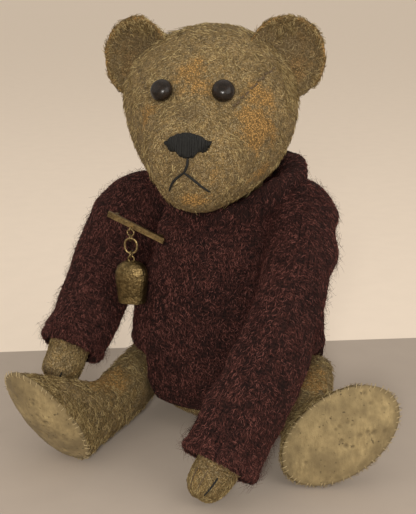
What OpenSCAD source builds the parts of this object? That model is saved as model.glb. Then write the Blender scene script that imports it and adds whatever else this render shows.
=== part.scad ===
// Jointed mohair teddy bear in a knitted sweater with a bar brooch and bell charm.
// Millimetres. The bear sits on z = 0 and faces -Y; +X is the bear's own left.
// Soft pieces are plain closed solids at their rest shape.

/* [Fabric] */
// Thickness of the mohair cloth
cover_t = 1.2; // [0.8:0.1:2]
// Thickness of the felt paw and foot pads
felt_t = 1.4; // [1:0.1:2.5]
// Thickness of the knitted fabric
knit_t = 2.2; // [1.5:0.1:4]

/* [Joints] */
// Radius of the fibreboard discs at neck and hips
disc_r = 11; // [8:0.5:13]
// Radius of the fibreboard discs at the shoulders
shoulder_disc_r = 9.5; // [7:0.5:11]
// Thickness of the fibreboard discs
disc_t = 2.2; // [1.5:0.1:3]
// Radius of the steel washers
washer_r = 5; // [4:0.5:7]
// Thickness of the steel washers
washer_t = 0.8; // [0.5:0.1:1.2]
// Radius of the steel cotter pins
pin_r = 1.3; // [1:0.1:2]
// Radial running clearance of a pin in its disc
pin_fit = 0.05; // [0.02:0.01:0.1]
// Gap between two cloth faces that turn on each other
joint_gap = 0.3; // [0.2:0.05:0.6]

/* [Head] */
// Position of the centre of the head
head_pos = [-5, -12, 150]; // [-30:1:200]
// Turn of the head about the vertical
head_yaw = 3; // [-10:1:10]
// Lean of the head to the bear's left
head_roll = -1; // [-8:0.5:8]
// Radius of the ears
ear_r = 17.8; // [14:0.1:24]
// Radius of the boot-button eyes
eye_r = 5.3; // [3:0.1:7]
// Half the distance between the eyes
eye_x = 11.9; // [10:0.1:18]

/* [Hips and shoulders] */
// Distance of each hip joint face from the middle
hip_x = 32; // [30:0.5:34]
// Height of the hip axis above the seat
hip_z = 18.5; // [17:0.5:22]
// Distance of each shoulder joint face from the middle
shoulder_x = 24.5; // [23:0.5:27]
// Height of the shoulder axis above the seat
shoulder_z = 90; // [86:0.5:94]
// Height of the neck joint face above the seat
neck_z = 109; // [106:0.5:112]

/* [Brooch] */
// Width of the brass bar
bar_w = 2.6; // [2:0.1:4]
// Thickness of the brass bar
bar_t = 1.2; // [0.8:0.1:2]
// Greatest width of the bell
bell_w = 15; // [12:0.5:18]
// Height of the bell
bell_h = 19; // [15:0.5:24]
// Thickness of the bell's brass
bell_t = 0.7; // [0.5:0.1:1.2]

/* [Hidden] */
sides = 24;
hip_y = -6;
shoulder_y = -2;
neck_y = 2;
root_r = 14;
hip_root_r = 13;
armhole_r = 16;
arm_in = 31.4;
left_lift = [0, 8, 16, 25];
bar_in = [-20, -39.6, 92.8];
bar_out = [-47.4, -35.4, 102.6];
bar_mid = (bar_in + bar_out) / 2;
bar_len = norm(bar_out - bar_in);
bar_yaw = atan2(bar_in[1] - bar_out[1], bar_in[0] - bar_out[0]);
bar_tilt = asin((bar_out[2] - bar_in[2]) / bar_len);
bar_eye = [-1.8, -0.95, -1.5];
eye_x1 = bar_eye[0] * cos(bar_tilt) + bar_eye[2] * sin(bar_tilt);
eye_z1 = bar_eye[2] * cos(bar_tilt) - bar_eye[0] * sin(bar_tilt);
hang = bar_mid + [
  eye_x1 * cos(bar_yaw) - bar_eye[1] * sin(bar_yaw),
  eye_x1 * sin(bar_yaw) + bar_eye[1] * cos(bar_yaw),
  eye_z1 - 0.22
];

// ---- helpers for soft shapes -------------------------------------------------

function unit(v) = v / norm(v);

// A ring is [centre, u, v, half u, half v, squareness, taper].
function ring_pt(r, t) =
  let (
    c = cos(t),
    s = sin(t),
    p = 2 / r[5],
    x = sign(c) * pow(abs(c), p),
    y = sign(s) * pow(abs(s), p)
  )
  r[0] + r[1] * r[3] * x * (1 + r[6] * y) + r[2] * r[4] * y;

// Skins a list of rings and closes both ends.
module loft(rings) {
  n = len(rings);
  pts = [for (r = rings) for (j = [0 : sides - 1]) ring_pt(r, j * 360 / sides)];
  wall = [
    for (i = [0 : n - 2])
      for (j = [0 : sides - 1])
        let (k = (j + 1) % sides)
        for (f = [
          [i * sides + j, (i + 1) * sides + j, (i + 1) * sides + k],
          [i * sides + j, (i + 1) * sides + k, i * sides + k]
        ]) f
  ];
  first = [for (j = [0 : sides - 1]) j];
  last = [for (j = [0 : sides - 1]) n * sides - 1 - j];
  polyhedron(points = pts, faces = concat([first], [last], wall), convexity = 6);
}

// Point and direction on a smooth curve through the points p.
function knot(p, i) = p[max(0, min(len(p) - 1, i))];
function curve(p, t) =
  let (
    i = min(len(p) - 2, floor(t)),
    f = t - i,
    a = knot(p, i - 1),
    b = p[i],
    c = p[i + 1],
    d = knot(p, i + 2)
  )
  0.5 * (2 * b + (c - a) * f + (2 * a - 5 * b + 4 * c - d) * f * f
    + (3 * b - a - 3 * c + d) * f * f * f);
function heading(p, t) = unit(curve(p, min(len(p) - 1, t + 0.02)) - curve(p, max(0, t - 0.02)));

// Rings for a limb: rows are [t, half outward, half across, share of the end direction].
function limb(path, rows, out, end_dir, grow) =
  [
    for (i = [0 : len(rows) - 1])
      let (
        r = rows[i],
        n = unit(heading(path, r[0]) * (1 - r[3]) + end_dir * r[3]),
        u = unit(out - (out * n) * n),
        shift = i == 0 ? -grow : (i == len(rows) - 1 ? grow : 0)
      )
      [curve(path, r[0]) + n * shift, u, cross(n, u),
        max(0.4, r[1] + grow), max(0.4, r[2] + grow), 2, 0]
  ];

// ---- torso -------------------------------------------------------------------

// Rows are [z, half width, half depth, y of the middle, squareness].
torso_rows = [
  [0, 22, 20, 2, 2.1], [4, 30, 28, 2, 2.1], [12, 37, 35, 1, 2.1], [24, 41, 38, 0, 2.1],
  [38, 43, 39.4, -1, 2.1], [52, 42.6, 38.8, -1.5, 2.1], [66, 38.2, 37.2, -1.5, 2.1],
  [78, 31.6, 35, -1, 2.2], [88, 28.4, 33, -0.4, 2.4], [96, 27.4, 30, 1, 2.5],
  [101, 26, 27, 2.4, 2.4], [105, 23, 22, 3, 2.2], [109, 17, 17, 2, 2]
];
sweater_rows = [
  [5, 37, 36, 1, 2.1], [16, 43.5, 41, 0.5, 2.1], [30, 46, 42.4, -0.5, 2.1],
  [44, 46.4, 42.6, -1.3, 2.1], [58, 44.4, 41.6, -1.5, 2.1], [70, 39.8, 40, -1.4, 2.2],
  [78, 35.4, 38.8, -1.2, 2.3], [85, 33, 38, -1.2, 2.5], [93, 30.8, 36.2, -0.4, 2.7],
  [99, 30.2, 33.2, 1.2, 2.6], [104, 28.6, 28.6, 3, 2.3]
];
function standing(rows, grow, low, high) =
  [
    for (i = [0 : len(rows) - 1])
      let (r = rows[i], dz = i == 0 ? low : (i == len(rows) - 1 ? high : 0))
      [[0, r[3], r[0] + dz], [1, 0, 0], [0, 1, 0], r[1] + grow, r[2] + grow, r[4], 0]
  ];

// Room for a thigh and its swing from sitting to standing.
module thigh_room(s, x0, r) {
  translate([s * x0, hip_y, hip_z])
    rotate([0, s * 90, 0])
      cylinder(r = r, h = 30, $fn = 64);
  for (a = [-3, 40, 90])
    translate([s * (x0 + 15), hip_y, hip_z])
      rotate([a, 0, 0])
        translate([-15, -70, -r])
          cube([30, 70, 2 * r]);
}
module shoulder_room(s, x0, r) {
  translate([s * x0, shoulder_y, shoulder_z])
    rotate([0, s * 90, 0])
      cylinder(r = r, h = 30, $fn = 64);
}
module torso_outer() {
  difference() {
    loft(standing(torso_rows, 0, 0, 0));
    for (s = [-1, 1]) {
      thigh_room(s, hip_x, 18.4);
      shoulder_room(s, shoulder_x, root_r + 1);
    }
  }
}
module torso_inner(d) {
  difference() {
    loft(standing(torso_rows, -d, d, -d));
    for (s = [-1, 1]) {
      thigh_room(s, hip_x - d, 18.4 + d);
      shoulder_room(s, shoulder_x - d, root_r + 1 + d);
    }
  }
}
// The five joints, each with its axis along local +Z and z = 0 on the torso's cloth.
module at_neck() {
  translate([0, neck_y, neck_z])
    children();
}
module at_shoulder(s) {
  translate([s * shoulder_x, shoulder_y, shoulder_z])
    rotate([0, s * 90, 0])
      children();
}
module at_hip(s) {
  translate([s * hip_x, hip_y, hip_z])
    rotate([0, s * 90, 0])
      children();
}
module torso_cover() {
  color([0.52, 0.42, 0.28])
    difference() {
      torso_outer();
      torso_inner(cover_t);
      for (s = [-1, 1]) {
        at_hip(s) pin_hole(0.6);
        at_shoulder(s) pin_hole(0.6);
      }
      at_neck() pin_hole(0.6);
    }
}
module pin_hole(extra) {
  translate([0, 0, -3])
    cylinder(r = pin_r + extra, h = 6, $fn = 48);
}
// Pocket in the stuffing for a disc, its washer and the curled pin ends.
module body_pocket(r) {
  translate([0, 0, -cover_t - disc_t - 0.1])
    cylinder(r = r + 0.2, h = disc_t + 3, $fn = 64);
  translate([0, 0, -12])
    cylinder(r = washer_r + 3, h = 10, $fn = 48);
}
module torso_stuffing() {
  color([0.86, 0.8, 0.66])
    difference() {
      torso_inner(cover_t + 0.1);
      for (s = [-1, 1]) {
        at_hip(s) body_pocket(disc_r);
        at_shoulder(s) body_pocket(shoulder_disc_r);
      }
      at_neck() body_pocket(disc_r);
    }
}

// ---- joint hardware ----------------------------------------------------------

module flat_ring(r, bore, h) {
  difference() {
    cylinder(r = r, h = h, $fn = 72);
    translate([0, 0, -1])
      cylinder(r = bore, h = h + 2, $fn = 48);
  }
}
module disc_body(r) {
  color([0.55, 0.4, 0.26])
    translate([0, 0, -cover_t - disc_t])
      flat_ring(r, pin_r + pin_fit, disc_t);
}
module washer_body() {
  color([0.6, 0.6, 0.62])
    translate([0, 0, -cover_t - disc_t - washer_t])
      flat_ring(washer_r, pin_r + 0.2, washer_t);
}
module disc_limb(r) {
  color([0.55, 0.4, 0.26])
    translate([0, 0, joint_gap + cover_t])
      flat_ring(r, pin_r + 0.02, disc_t);
}
module washer_limb() {
  color([0.6, 0.6, 0.62])
    translate([0, 0, joint_gap + cover_t + disc_t])
      flat_ring(washer_r, pin_r + 0.02, washer_t);
}
// Cotter pin: round shank, a head in the limb, two curled ends inside the torso.
module cotter_pin() {
  top = joint_gap + cover_t + disc_t + washer_t;
  low = -cover_t - disc_t - washer_t - 2.6;
  color([0.5, 0.5, 0.52]) {
    translate([0, 0, low])
      cylinder(r = pin_r, h = top - low + 0.2, $fn = 48);
    translate([0, 0, top])
      cylinder(r = pin_r * 2, h = 1.4, $fn = 48);
    for (m = [0, 180])
      rotate([0, 0, m])
        translate([2.2, 0, low])
          rotate([90, 0, 0])
            rotate([0, 0, 180])
              rotate_extrude(angle = 150, $fn = 64)
                translate([2.2, 0])
                  circle(r = 0.8, $fn = 24);
  }
}
module limb_pocket(r) {
  translate([0, 0, -5])
    cylinder(r = r + 0.2, h = 5 + joint_gap + cover_t + disc_t + 0.1, $fn = 64);
  translate([0, 0, 0])
    cylinder(r = washer_r + 0.4, h = joint_gap + cover_t + disc_t + washer_t + 1.8, $fn = 48);
}
module joint_washers_body() {
  at_neck() washer_body();
  for (s = [-1, 1]) {
    at_shoulder(s) washer_body();
    at_hip(s) washer_body();
  }
}

// ---- head --------------------------------------------------------------------

// Rows are [y, half width, top, bottom].
head_rows = [
  [36, 3, 6, -4], [34.5, 13, 15, -14], [30, 23, 24.5, -26], [22, 32, 32, -36],
  [12, 37, 34.5, -40.5], [2, 40, 35.8, -41.5], [-8, 40.5, 34.5, -41.8], [-18, 37.4, 30, -41.8],
  [-27, 32, 24, -41.6], [-35, 26.4, 16, -41], [-43, 22, 7, -39.4], [-49, 17.6, 1.5, -35],
  [-52.5, 11, -4, -28.4], [-54, 3, -13, -20]
];
function skull(grow) =
  [
    for (i = [0 : len(head_rows) - 1])
      let (
        r = head_rows[i],
        dy = i == 0 ? grow : (i == len(head_rows) - 1 ? -grow : 0)
      )
      [[0, r[0] + dy, (r[2] + r[3]) / 2], [1, 0, 0], [0, 0, 1],
        max(0.4, r[1] + grow), max(0.4, (r[2] - r[3]) / 2 + grow), 2, 0.1]
  ];
module on_head() {
  translate(head_pos)
    rotate([0, head_roll, head_yaw])
      children();
}
module neck_cut(z, r) {
  translate([0, neck_y, z - 30])
    cylinder(r = r, h = 30, $fn = 96);
}
module head_solid(grow) {
  difference() {
    union() {
      on_head() loft(skull(grow));
      translate([0, neck_y, neck_z])
        cylinder(r = 15.5 + grow, h = 20, $fn = 96);
    }
    neck_cut(neck_z + joint_gap - grow, 42 - grow);
  }
}
module eye_hole(s, r) {
  at_eye(s)
    translate([0, 0, -9])
      cylinder(r = r, h = 14, $fn = 32);
}
module head_cover() {
  color([0.56, 0.45, 0.3])
    difference() {
      head_solid(0);
      head_solid(-cover_t);
      at_neck() pin_hole(0.1);
      on_head()
        for (s = [-1, 1]) eye_hole(s, 0.75);
    }
}
module head_stuffing() {
  color([0.86, 0.8, 0.66])
    difference() {
      head_solid(-cover_t - 0.1);
      at_neck() limb_pocket(disc_r);
      on_head()
        for (s = [-1, 1]) eye_hole(s, 1.7);
    }
}
// Cupped ear, two layers of mohair sewn on across the side seam.
module ear(s) {
  bowl = [
    [0.5, 8], [7, 7.4], [13, 5.6], [17.5, 2.6], [19.8, -1], [19.6, -2.6],
    [18, -2.2], [15, 0.8], [10, 3], [5, 4], [0.5, 4.3]
  ];
  f = unit([s * 0.36, -0.93, 0.06]);
  u = unit(cross(f, [0, 0, -1]));
  color([0.5, 0.4, 0.26])
    difference() {
      on_head()
        translate([s * 34, -4, 24])
          loft([for (b = bowl) [-f * b[1], u, cross(f, u), b[0] * ear_r / 20, b[0] * ear_r / 20, 2, 0]]);
      head_solid(0.05);
    }
}
// Boot button: domed face, flat back and a wire shank through the cloth.
module eye(s) {
  color([0.03, 0.025, 0.02]) {
    difference() {
      on_head()
        at_eye(s)
          translate([0, 0, 3.6])
            rotate_extrude($fn = 64)
              polygon([
                [0, 0], [eye_r - 1, 0], [eye_r - 0.2, 0.6], [eye_r, 1.6], [eye_r - 0.3, 2.8],
                [eye_r - 1.4, 4.2], [eye_r - 3, 5], [0, 5.4]
              ]);
      head_solid(0.05);
    }
    on_head()
      at_eye(s)
        translate([0, 0, -6])
          cylinder(r = 0.6, h = 10.4, $fn = 24);
  }
}
module at_eye(s) {
  translate([s * eye_x, -35.4, 8])
    rotate([60, 0, s * 12])
      children();
}
module nose_stitching() {
  color([0.06, 0.05, 0.05])
    difference() {
      on_head()
        loft([
          [[0, -44, -5], [1, 0, 0], [0, 0, 1], 9.5, 5, 2.3, 0.25],
          [[0, -50, -7.6], [1, 0, 0], [0, 0, 1], 10.4, 5.6, 2.3, 0.25],
          [[0, -54, -8.8], [1, 0, 0], [0, 0, 1], 8.8, 5.2, 2.3, 0.25],
          [[0, -55.6, -9.8], [1, 0, 0], [0, 0, 1], 5, 3.2, 2.2, 0.2]
        ]);
      head_solid(0.05);
    }
}
module rod(p, q, r) {
  d = q - p;
  translate(p)
    rotate([0, acos(d[2] / norm(d)), atan2(d[1], d[0])])
      cylinder(r = r, h = norm(d), $fn = 16);
}
module mouth_stitching() {
  color([0.06, 0.05, 0.05])
    difference() {
      on_head() {
        rod([0.3, -54.3, -15.2], [0, -54, -20.6], 0.8);
        for (m = [-1, 1]) {
          rod([0, -54, -20.2], [m * 4.4, -53, -24.6], 0.8);
          rod([m * 4.4, -53, -24.6], [m * 8.4, -50.6, -28.4], 0.8);
        }
      }
      head_solid(0.05);
    }
}
module dart_stitching() {
  color([0.2, 0.13, 0.07])
    difference() {
      on_head()
        for (i = [0 : 6])
          translate([17 + i * 2.3, -39.3 + i * 4, 4.4 + i * 2.45])
            rotate([30, 50, 0])
              cylinder(r = 0.55, h = 2.4, center = true, $fn = 12);
      head_solid(0.05);
    }
}

// ---- arms --------------------------------------------------------------------

arm_rows = [
  [0, 2, 2.5, 0], [0.12, 5.5, 8, 0], [0.35, 7.8, 12.2, 0], [0.7, 8.6, 14, 0], [1, 8.8, 14.2, 0],
  [1.4, 10, 13.4, 0], [2, 11.6, 12.2, 0], [2.6, 10.8, 11.2, 0], [3, 9.8, 10.4, 0],
  [3.4, 9.4, 10, 0], [3.75, 8.6, 9.4, 0], [3.92, 6, 7, 0], [4, 2.5, 3, 0]
];
sleeve_rows = [
  [0, 2, 2.5, 0], [0.12, 5.5, 8, 0], [0.35, 7.8, 12.2, 0], [0.7, 8.6, 14, 0], [1, 8.8, 14.2, 0],
  [1.4, 10, 13.4, 0], [2, 11.6, 12.2, 0], [2.6, 11, 11.4, 0], [3, 10.8, 11.2, 0],
  [3.25, 11.6, 12, 0]
];
arm_path_right = [
  [-42.4, 8.6, 101.5], [-42.8, -2, 90.5], [-62, -17, 67], [-65.5, -36, 44], [-71, -48, 24]
];
arm_path_left = [
  [40.4, 8.6, 101.5], [40.6, -3, 90.5], [42, -47, 73], [32.5, -73, 41], [12.5, -101, 4]
];
function arm_path(s) = s < 0 ? arm_path_right : arm_path_left;
function arm_out(s) = [s, 0, 0];
function arm_rings(s, rows, grow) = limb(arm_path(s), rows, arm_out(s), [0, 0, 0], grow);

// Everything between the body and the arm, except the root that passes the armhole.
module arm_side(s, x1, r, x0) {
  difference() {
    translate([s < 0 ? -x1 : 0, -41, 40])
      cube([x1, 100, 100]);
    translate([s * x0, shoulder_y, shoulder_z])
      rotate([0, s * 90, 0])
        cylinder(r = r, h = 40, $fn = 96);
  }
}
module arm_solid(s, d) {
  difference() {
    union() {
      loft(arm_rings(s, arm_rows, -d));
      at_shoulder(s)
        translate([0, 0, joint_gap + d])
          cylinder(r = root_r - d, h = 12, $fn = 96);
    }
    arm_side(s, arm_in + d, root_r - d, shoulder_x + joint_gap + d);
  }
}
module arm_cover(s) {
  color([0.54, 0.43, 0.28])
    difference() {
      arm_solid(s, 0);
      arm_solid(s, cover_t);
      at_shoulder(s) pin_hole(0.1);
    }
}
module arm_stuffing(s) {
  color([0.86, 0.8, 0.66])
    difference() {
      arm_solid(s, cover_t + 0.1);
      at_shoulder(s) limb_pocket(shoulder_disc_r);
    }
}
// Felt pad on the palm side of the paw.
module paw_pad(s) {
  p = curve(arm_path(s), 3.72);
  n = heading(arm_path(s), 3.6);
  palm = unit(cross(n, [1, 0, 0]));
  side = palm[2] > 0 ? -palm : palm;
  color([0.55, 0.47, 0.34])
    intersection() {
      difference() {
        loft(arm_rings(s, arm_rows, 0.9));
        loft(arm_rings(s, arm_rows, 0.05));
      }
      translate(p)
        rotate([0, acos(side[2]), atan2(side[1], side[0])])
          cylinder(r = 7.5, h = 20, $fn = 48);
    }
}
function claw_side(s) = s < 0 ? -90 : 90;
module claw_stitches(s) {
  r = arm_rings(s, arm_rows, 0.25);
  color([0.06, 0.05, 0.05])
    difference() {
      for (k = [-32, 0, 32])
        rod(ring_pt(r[10], k + claw_side(s)), ring_pt(r[11], k + claw_side(s)), 0.6);
      loft(arm_rings(s, arm_rows, 0.05));
    }
}
module sweater_sleeve(s) {
  color([0.26, 0.13, 0.12])
    difference() {
      loft(arm_rings(s, sleeve_rows, 0.4 + knit_t));
      loft(arm_rings(s, arm_rows, 0.4));
      translate([s < 0 ? -arm_in - 0.1 : 0, -42, 40])
        cube([arm_in + 0.1, 100, 100]);
      at_shoulder(s)
        cylinder(r = root_r + 0.3, h = 15, $fn = 96);
    }
}

// ---- legs --------------------------------------------------------------------

leg_rows = [
  [0, 2, 2, 0], [0.08, 7.5, 6, 0], [0.28, 12, 9, 0], [0.6, 14.4, 10.6, 0], [1, 15, 11, 0],
  [1.5, 14.4, 11.4, 0], [2, 13.2, 11.8, 0], [2.6, 12.4, 11.6, 0], [3, 14, 12, 0.3],
  [3.35, 17.6, 13.4, 0.6], [3.65, 23, 15.6, 0.85], [3.85, 26.2, 16.6, 1], [4, 27.2, 17, 1]
];
leg_path_right = [
  [-43.3, 9.8, 18.8], [-43.3, -6, 18.5], [-44, -32, 17], [-47.5, -56, 16.2], [-59, -84, 23.6]
];
leg_path_left = [
  [43.3, 9.8, 18.8], [43.3, -6, 18.5], [45, -32, 17], [49.5, -50, 16.2], [64.5, -67, 22.2]
];
function leg_path(s) = s < 0 ? leg_path_right : leg_path_left;
function toe_dir(s) = s < 0 ? unit([-0.32, -0.4, 0.86]) : unit([0.74, 0.35, 0.57]);
// Long way of the sole, square to its normal.
function sole_up(s) = unit(toe_dir(s) - (toe_dir(s) * sole_dir(s)) * sole_dir(s));
function sole_dir(s) = s < 0 ? unit([-0.3, -0.82, -0.49]) : unit([0.255, -0.949, 0.19]);
function leg_rings(s, grow) = limb(leg_path(s), leg_rows, toe_dir(s), sole_dir(s), grow);
module hip_slab(s, x1) {
  translate([s < 0 ? -x1 : 0, -150, -20])
    cube([x1, 250, 120]);
}
module leg_solid(s, d) {
  difference() {
    union() {
      loft(leg_rings(s, -d));
      at_hip(s)
        translate([0, 0, joint_gap + d])
          cylinder(r = hip_root_r - d, h = 8, $fn = 96);
    }
    hip_slab(s, hip_x + joint_gap + d);
  }
}
module leg_cover(s) {
  color([0.54, 0.43, 0.28])
    difference() {
      leg_solid(s, 0);
      leg_solid(s, cover_t);
      at_hip(s) pin_hole(0.1);
      sole_opening(s, 25.8, 15.6);
    }
}
// The open end of the leg's cloth, closed by the felt sole.
module sole_opening(s, a, b) {
  n = sole_dir(s);
  u = sole_up(s);
  c = curve(leg_path(s), 4);
  loft([
    [c - n * 2.4, u, cross(n, u), a, b, 2, 0],
    [c + n * 3, u, cross(n, u), a, b, 2, 0]
  ]);
}
module leg_stuffing(s) {
  color([0.86, 0.8, 0.66])
    difference() {
      leg_solid(s, cover_t + 0.1);
      at_hip(s) limb_pocket(disc_r);
    }
}
module foot_pad(s) {
  n = sole_dir(s);
  u = sole_up(s);
  c = curve(leg_path(s), 4);
  color([0.58, 0.5, 0.36])
    loft([
      [c - n * 1.1, u, cross(n, u), 25.7, 15.5, 2, 0],
      [c + n * (felt_t - 1.1), u, cross(n, u), 25.7, 15.5, 2, 0]
    ]);
}

// ---- sweater body ------------------------------------------------------------

collar_tilt = -9;
collar_z = 106.8;
module collar_frame() {
  translate([0, 3.5, collar_z])
    rotate([-collar_tilt, 0, 0])
      children();
}
// Room for a sleeve while its arm rises from rest.
module sleeve_room(s, lift) {
  for (a = lift)
    translate([0, shoulder_y, shoulder_z])
      rotate([-a, 0, 0])
        translate([0, -shoulder_y, -shoulder_z])
          loft(arm_rings(s, sleeve_rows, 0.4 + knit_t + 0.4));
}
module sweater_body() {
  color([0.25, 0.12, 0.11])
    difference() {
      loft(standing(sweater_rows, 0, 0, 0));
      loft(standing(sweater_rows, -knit_t, -1, 1));
      for (s = [-1, 1]) {
        thigh_room(s, hip_x - 0.4, 19.2);
        shoulder_room(s, 20, armhole_r);
      }
      sleeve_room(1, left_lift);
      collar_frame()
        translate([0, 0, -6.2])
          cylinder(r = 60, h = 30, $fn = 96);
    }
}
// Room over the back and sides of the collar for the head's turn.
module head_room() {
  translate([0, neck_y, neck_z])
    rotate_extrude($fn = 96)
      polygon([[0, 0.1], [20, 0.1], [32, 8], [42, 40]]);
}
module sweater_collar() {
  color([0.25, 0.12, 0.11])
    difference() {
      collar_frame()
        rotate_extrude($fn = 96)
          translate([31.6, 0])
            scale([0.52, 1])
              circle(r = 6.2, $fn = 40);
      loft(standing(torso_rows, 0.1, 0, 0.1));
      for (s = [-1, 1]) {
        shoulder_room(s, 20, armhole_r);
        translate([s * (arm_in - 0.4 + 20), 0, collar_z])
          cube([40, 100, 40], center = true);
      }
      head_room();
      translate([-60, -70, neck_z])
        cube([120, 62, 20]);
    }
}

// ---- brooch, chain and bell --------------------------------------------------

// Local frame on the bar: x along the bar towards the middle, -y to the front.
module on_bar() {
  translate(bar_mid)
    rotate([0, 0, bar_yaw])
      rotate([0, bar_tilt, 0])
        children();
}
module brooch_bar() {
  color([0.55, 0.42, 0.2])
    on_bar() {
      difference() {
        translate([-bar_len / 2, -bar_t / 2, -bar_w / 2])
          cube([bar_len, bar_t, bar_w]);
        for (i = [-5 : 5])
          translate([i * 2.5, -bar_t / 2 - 0.3, 0])
            rotate([0, 45, 0])
              cube([0.5, 1, 1.6], center = true);
      }
      // hinge cheeks
      for (z = [-0.95, 0.95])
        translate([bar_len / 2 - 3, bar_t / 2 + 1, z])
          cube([2.2, 2.4, 0.5], center = true);
      // catch
      difference() {
        translate([-bar_len / 2 + 3, bar_t / 2 + 1.3, 0])
          cube([1.4, 3, 2], center = true);
        translate([-bar_len / 2 + 3, bar_t / 2 + 2.5, 0])
          cube([3, 3, 1], center = true);
      }
      // eye under the bar that carries the chain
      translate(bar_eye)
        rotate([0, 90, 0])
          rotate_extrude($fn = 48)
            translate([1, 0])
              circle(r = 0.35, $fn = 20);
    }
}
module brooch_pin_stem() {
  color([0.62, 0.55, 0.4])
    on_bar() {
      translate([bar_len / 2 - 3, bar_t / 2 + 1.5, -0.6])
        cylinder(r = 0.75, h = 1.2, $fn = 32);
      translate([-bar_len / 2 + 1.6, bar_t / 2 + 1.5, 0])
        rotate([0, 90, 0])
          cylinder(r = 0.35, h = bar_len - 4.8, $fn = 24);
    }
}
module link(r, w) {
  rotate_extrude($fn = 48)
    translate([r, 0])
      circle(r = w, $fn = 20);
}
module chain_links_upper() {
  color([0.5, 0.38, 0.18])
    translate(hang) {
      translate([0, 0, -1.5])
        rotate([90, 0, 0]) link(1.5, 0.35);
      translate([0, 0, -3.7])
        rotate([0, 90, 0]) link(1.5, 0.35);
    }
}
// Oval ring: two half circles joined by short straights.
module chain_ring() {
  color([0.52, 0.4, 0.2])
    translate(hang + [0, 0, -7.6])
      rotate([90, 0, 0]) {
        for (m = [0, 180])
          rotate([0, 0, m])
            translate([0, 0.6, 0])
              rotate_extrude(angle = 180, $fn = 64)
                translate([2.85, 0])
                  circle(r = 0.5, $fn = 24);
        for (m = [-1, 1])
          translate([m * 2.85, -0.6, 0])
            rotate([-90, 0, 0])
              cylinder(r = 0.5, h = 1.2, $fn = 24);
      }
}
module chain_link_lower() {
  color([0.5, 0.38, 0.18])
    translate(hang + [0, 0, -11.65])
      rotate([0, 90, 0]) link(1.5, 0.35);
}
bell_top = -14.82;
bell_rows = [
  [0, 2.6, 1.8], [-0.8, 4.6, 3], [-2.4, 6.4, 4.1], [-5, 7.4, 4.7], [-8, 7.5, 4.9],
  [-12, 7, 4.8], [-16, 6.5, 4.7], [-19, 6.4, 4.8]
];
function bell_rings(d, lift, drop) =
  [
    for (i = [len(bell_rows) - 1 : -1 : 0])
      let (
        r = bell_rows[i],
        z = r[0] * bell_h / 19 + (i == 0 ? -lift : (i == len(bell_rows) - 1 ? -drop : 0))
      )
      [hang + [0, 0, bell_top + z], [1, 0, 0], [0, 1, 0],
        max(0.5, r[1] * bell_w / 15 - d), max(0.5, r[2] * bell_w / 15 - d), 2.5, 0]
  ];
module bell() {
  color([0.5, 0.39, 0.2]) {
    difference() {
      loft(bell_rings(0, 0, 0));
      loft(bell_rings(bell_t, bell_t, 1));
    }
    translate(hang + [0, 0, bell_top + 1.1])
      rotate([90, 0, 0]) link(1.4, 0.45);
    // staple inside that holds the clapper
    translate(hang + [0, 0, bell_top - 1.3])
      rotate([90, 0, 0]) link(0.95, 0.3);
  }
}
module bell_clapper() {
  color([0.45, 0.36, 0.2])
    translate(hang + [0, 0, bell_top]) {
      translate([0, 0, -2.45])
        rotate([0, 90, 0]) link(0.8, 0.28);
      translate([0, 0, -13])
        cylinder(r = 0.45, h = 9.8, $fn = 24);
      translate([0, 0, -14.2])
        sphere(r = 2.2, $fn = 48);
    }
}

// ---- draw --------------------------------------------------------------------

torso_cover();
torso_stuffing();
at_neck() disc_body(disc_r);  // neck_disc_body
at_shoulder(-1) disc_body(shoulder_disc_r);  // shoulder_disc_body_right
at_shoulder(1) disc_body(shoulder_disc_r);  // shoulder_disc_body_left
at_hip(-1) disc_body(disc_r);  // hip_disc_body_right
at_hip(1) disc_body(disc_r);  // hip_disc_body_left
joint_washers_body();
sweater_body();
sweater_collar();
brooch_bar();
brooch_pin_stem();
chain_links_upper();
chain_ring();
chain_link_lower();
bell();
bell_clapper();
head_cover();
head_stuffing();
ear(-1);  // ear_right
ear(1);  // ear_left
eye(-1);  // eye_right
eye(1);  // eye_left
nose_stitching();
mouth_stitching();
dart_stitching();
at_neck() disc_limb(disc_r);  // neck_disc_head
at_neck() washer_limb();  // neck_washer_head
at_neck() cotter_pin();  // neck_pin
arm_cover(-1);  // arm_cover_right
arm_stuffing(-1);  // arm_stuffing_right
paw_pad(-1);  // paw_pad_right
claw_stitches(-1);  // claw_stitches_right
at_shoulder(-1) disc_limb(shoulder_disc_r);  // shoulder_disc_arm_right
at_shoulder(-1) washer_limb();  // shoulder_washer_right
at_shoulder(-1) cotter_pin();  // shoulder_pin_right
sweater_sleeve(-1);  // sweater_sleeve_right
arm_cover(1);  // arm_cover_left
arm_stuffing(1);  // arm_stuffing_left
paw_pad(1);  // paw_pad_left
claw_stitches(1);  // claw_stitches_left
at_shoulder(1) disc_limb(shoulder_disc_r);  // shoulder_disc_arm_left
at_shoulder(1) washer_limb();  // shoulder_washer_left
at_shoulder(1) cotter_pin();  // shoulder_pin_left
sweater_sleeve(1);  // sweater_sleeve_left
leg_cover(-1);  // leg_cover_right
leg_stuffing(-1);  // leg_stuffing_right
foot_pad(-1);  // foot_pad_right
at_hip(-1) disc_limb(disc_r);  // hip_disc_leg_right
at_hip(-1) washer_limb();  // hip_washer_right
at_hip(-1) cotter_pin();  // hip_pin_right
leg_cover(1);  // leg_cover_left
leg_stuffing(1);  // leg_stuffing_left
foot_pad(1);  // foot_pad_left
at_hip(1) disc_limb(disc_r);  // hip_disc_leg_left
at_hip(1) washer_limb();  // hip_washer_left
at_hip(1) cotter_pin();  // hip_pin_left
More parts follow.
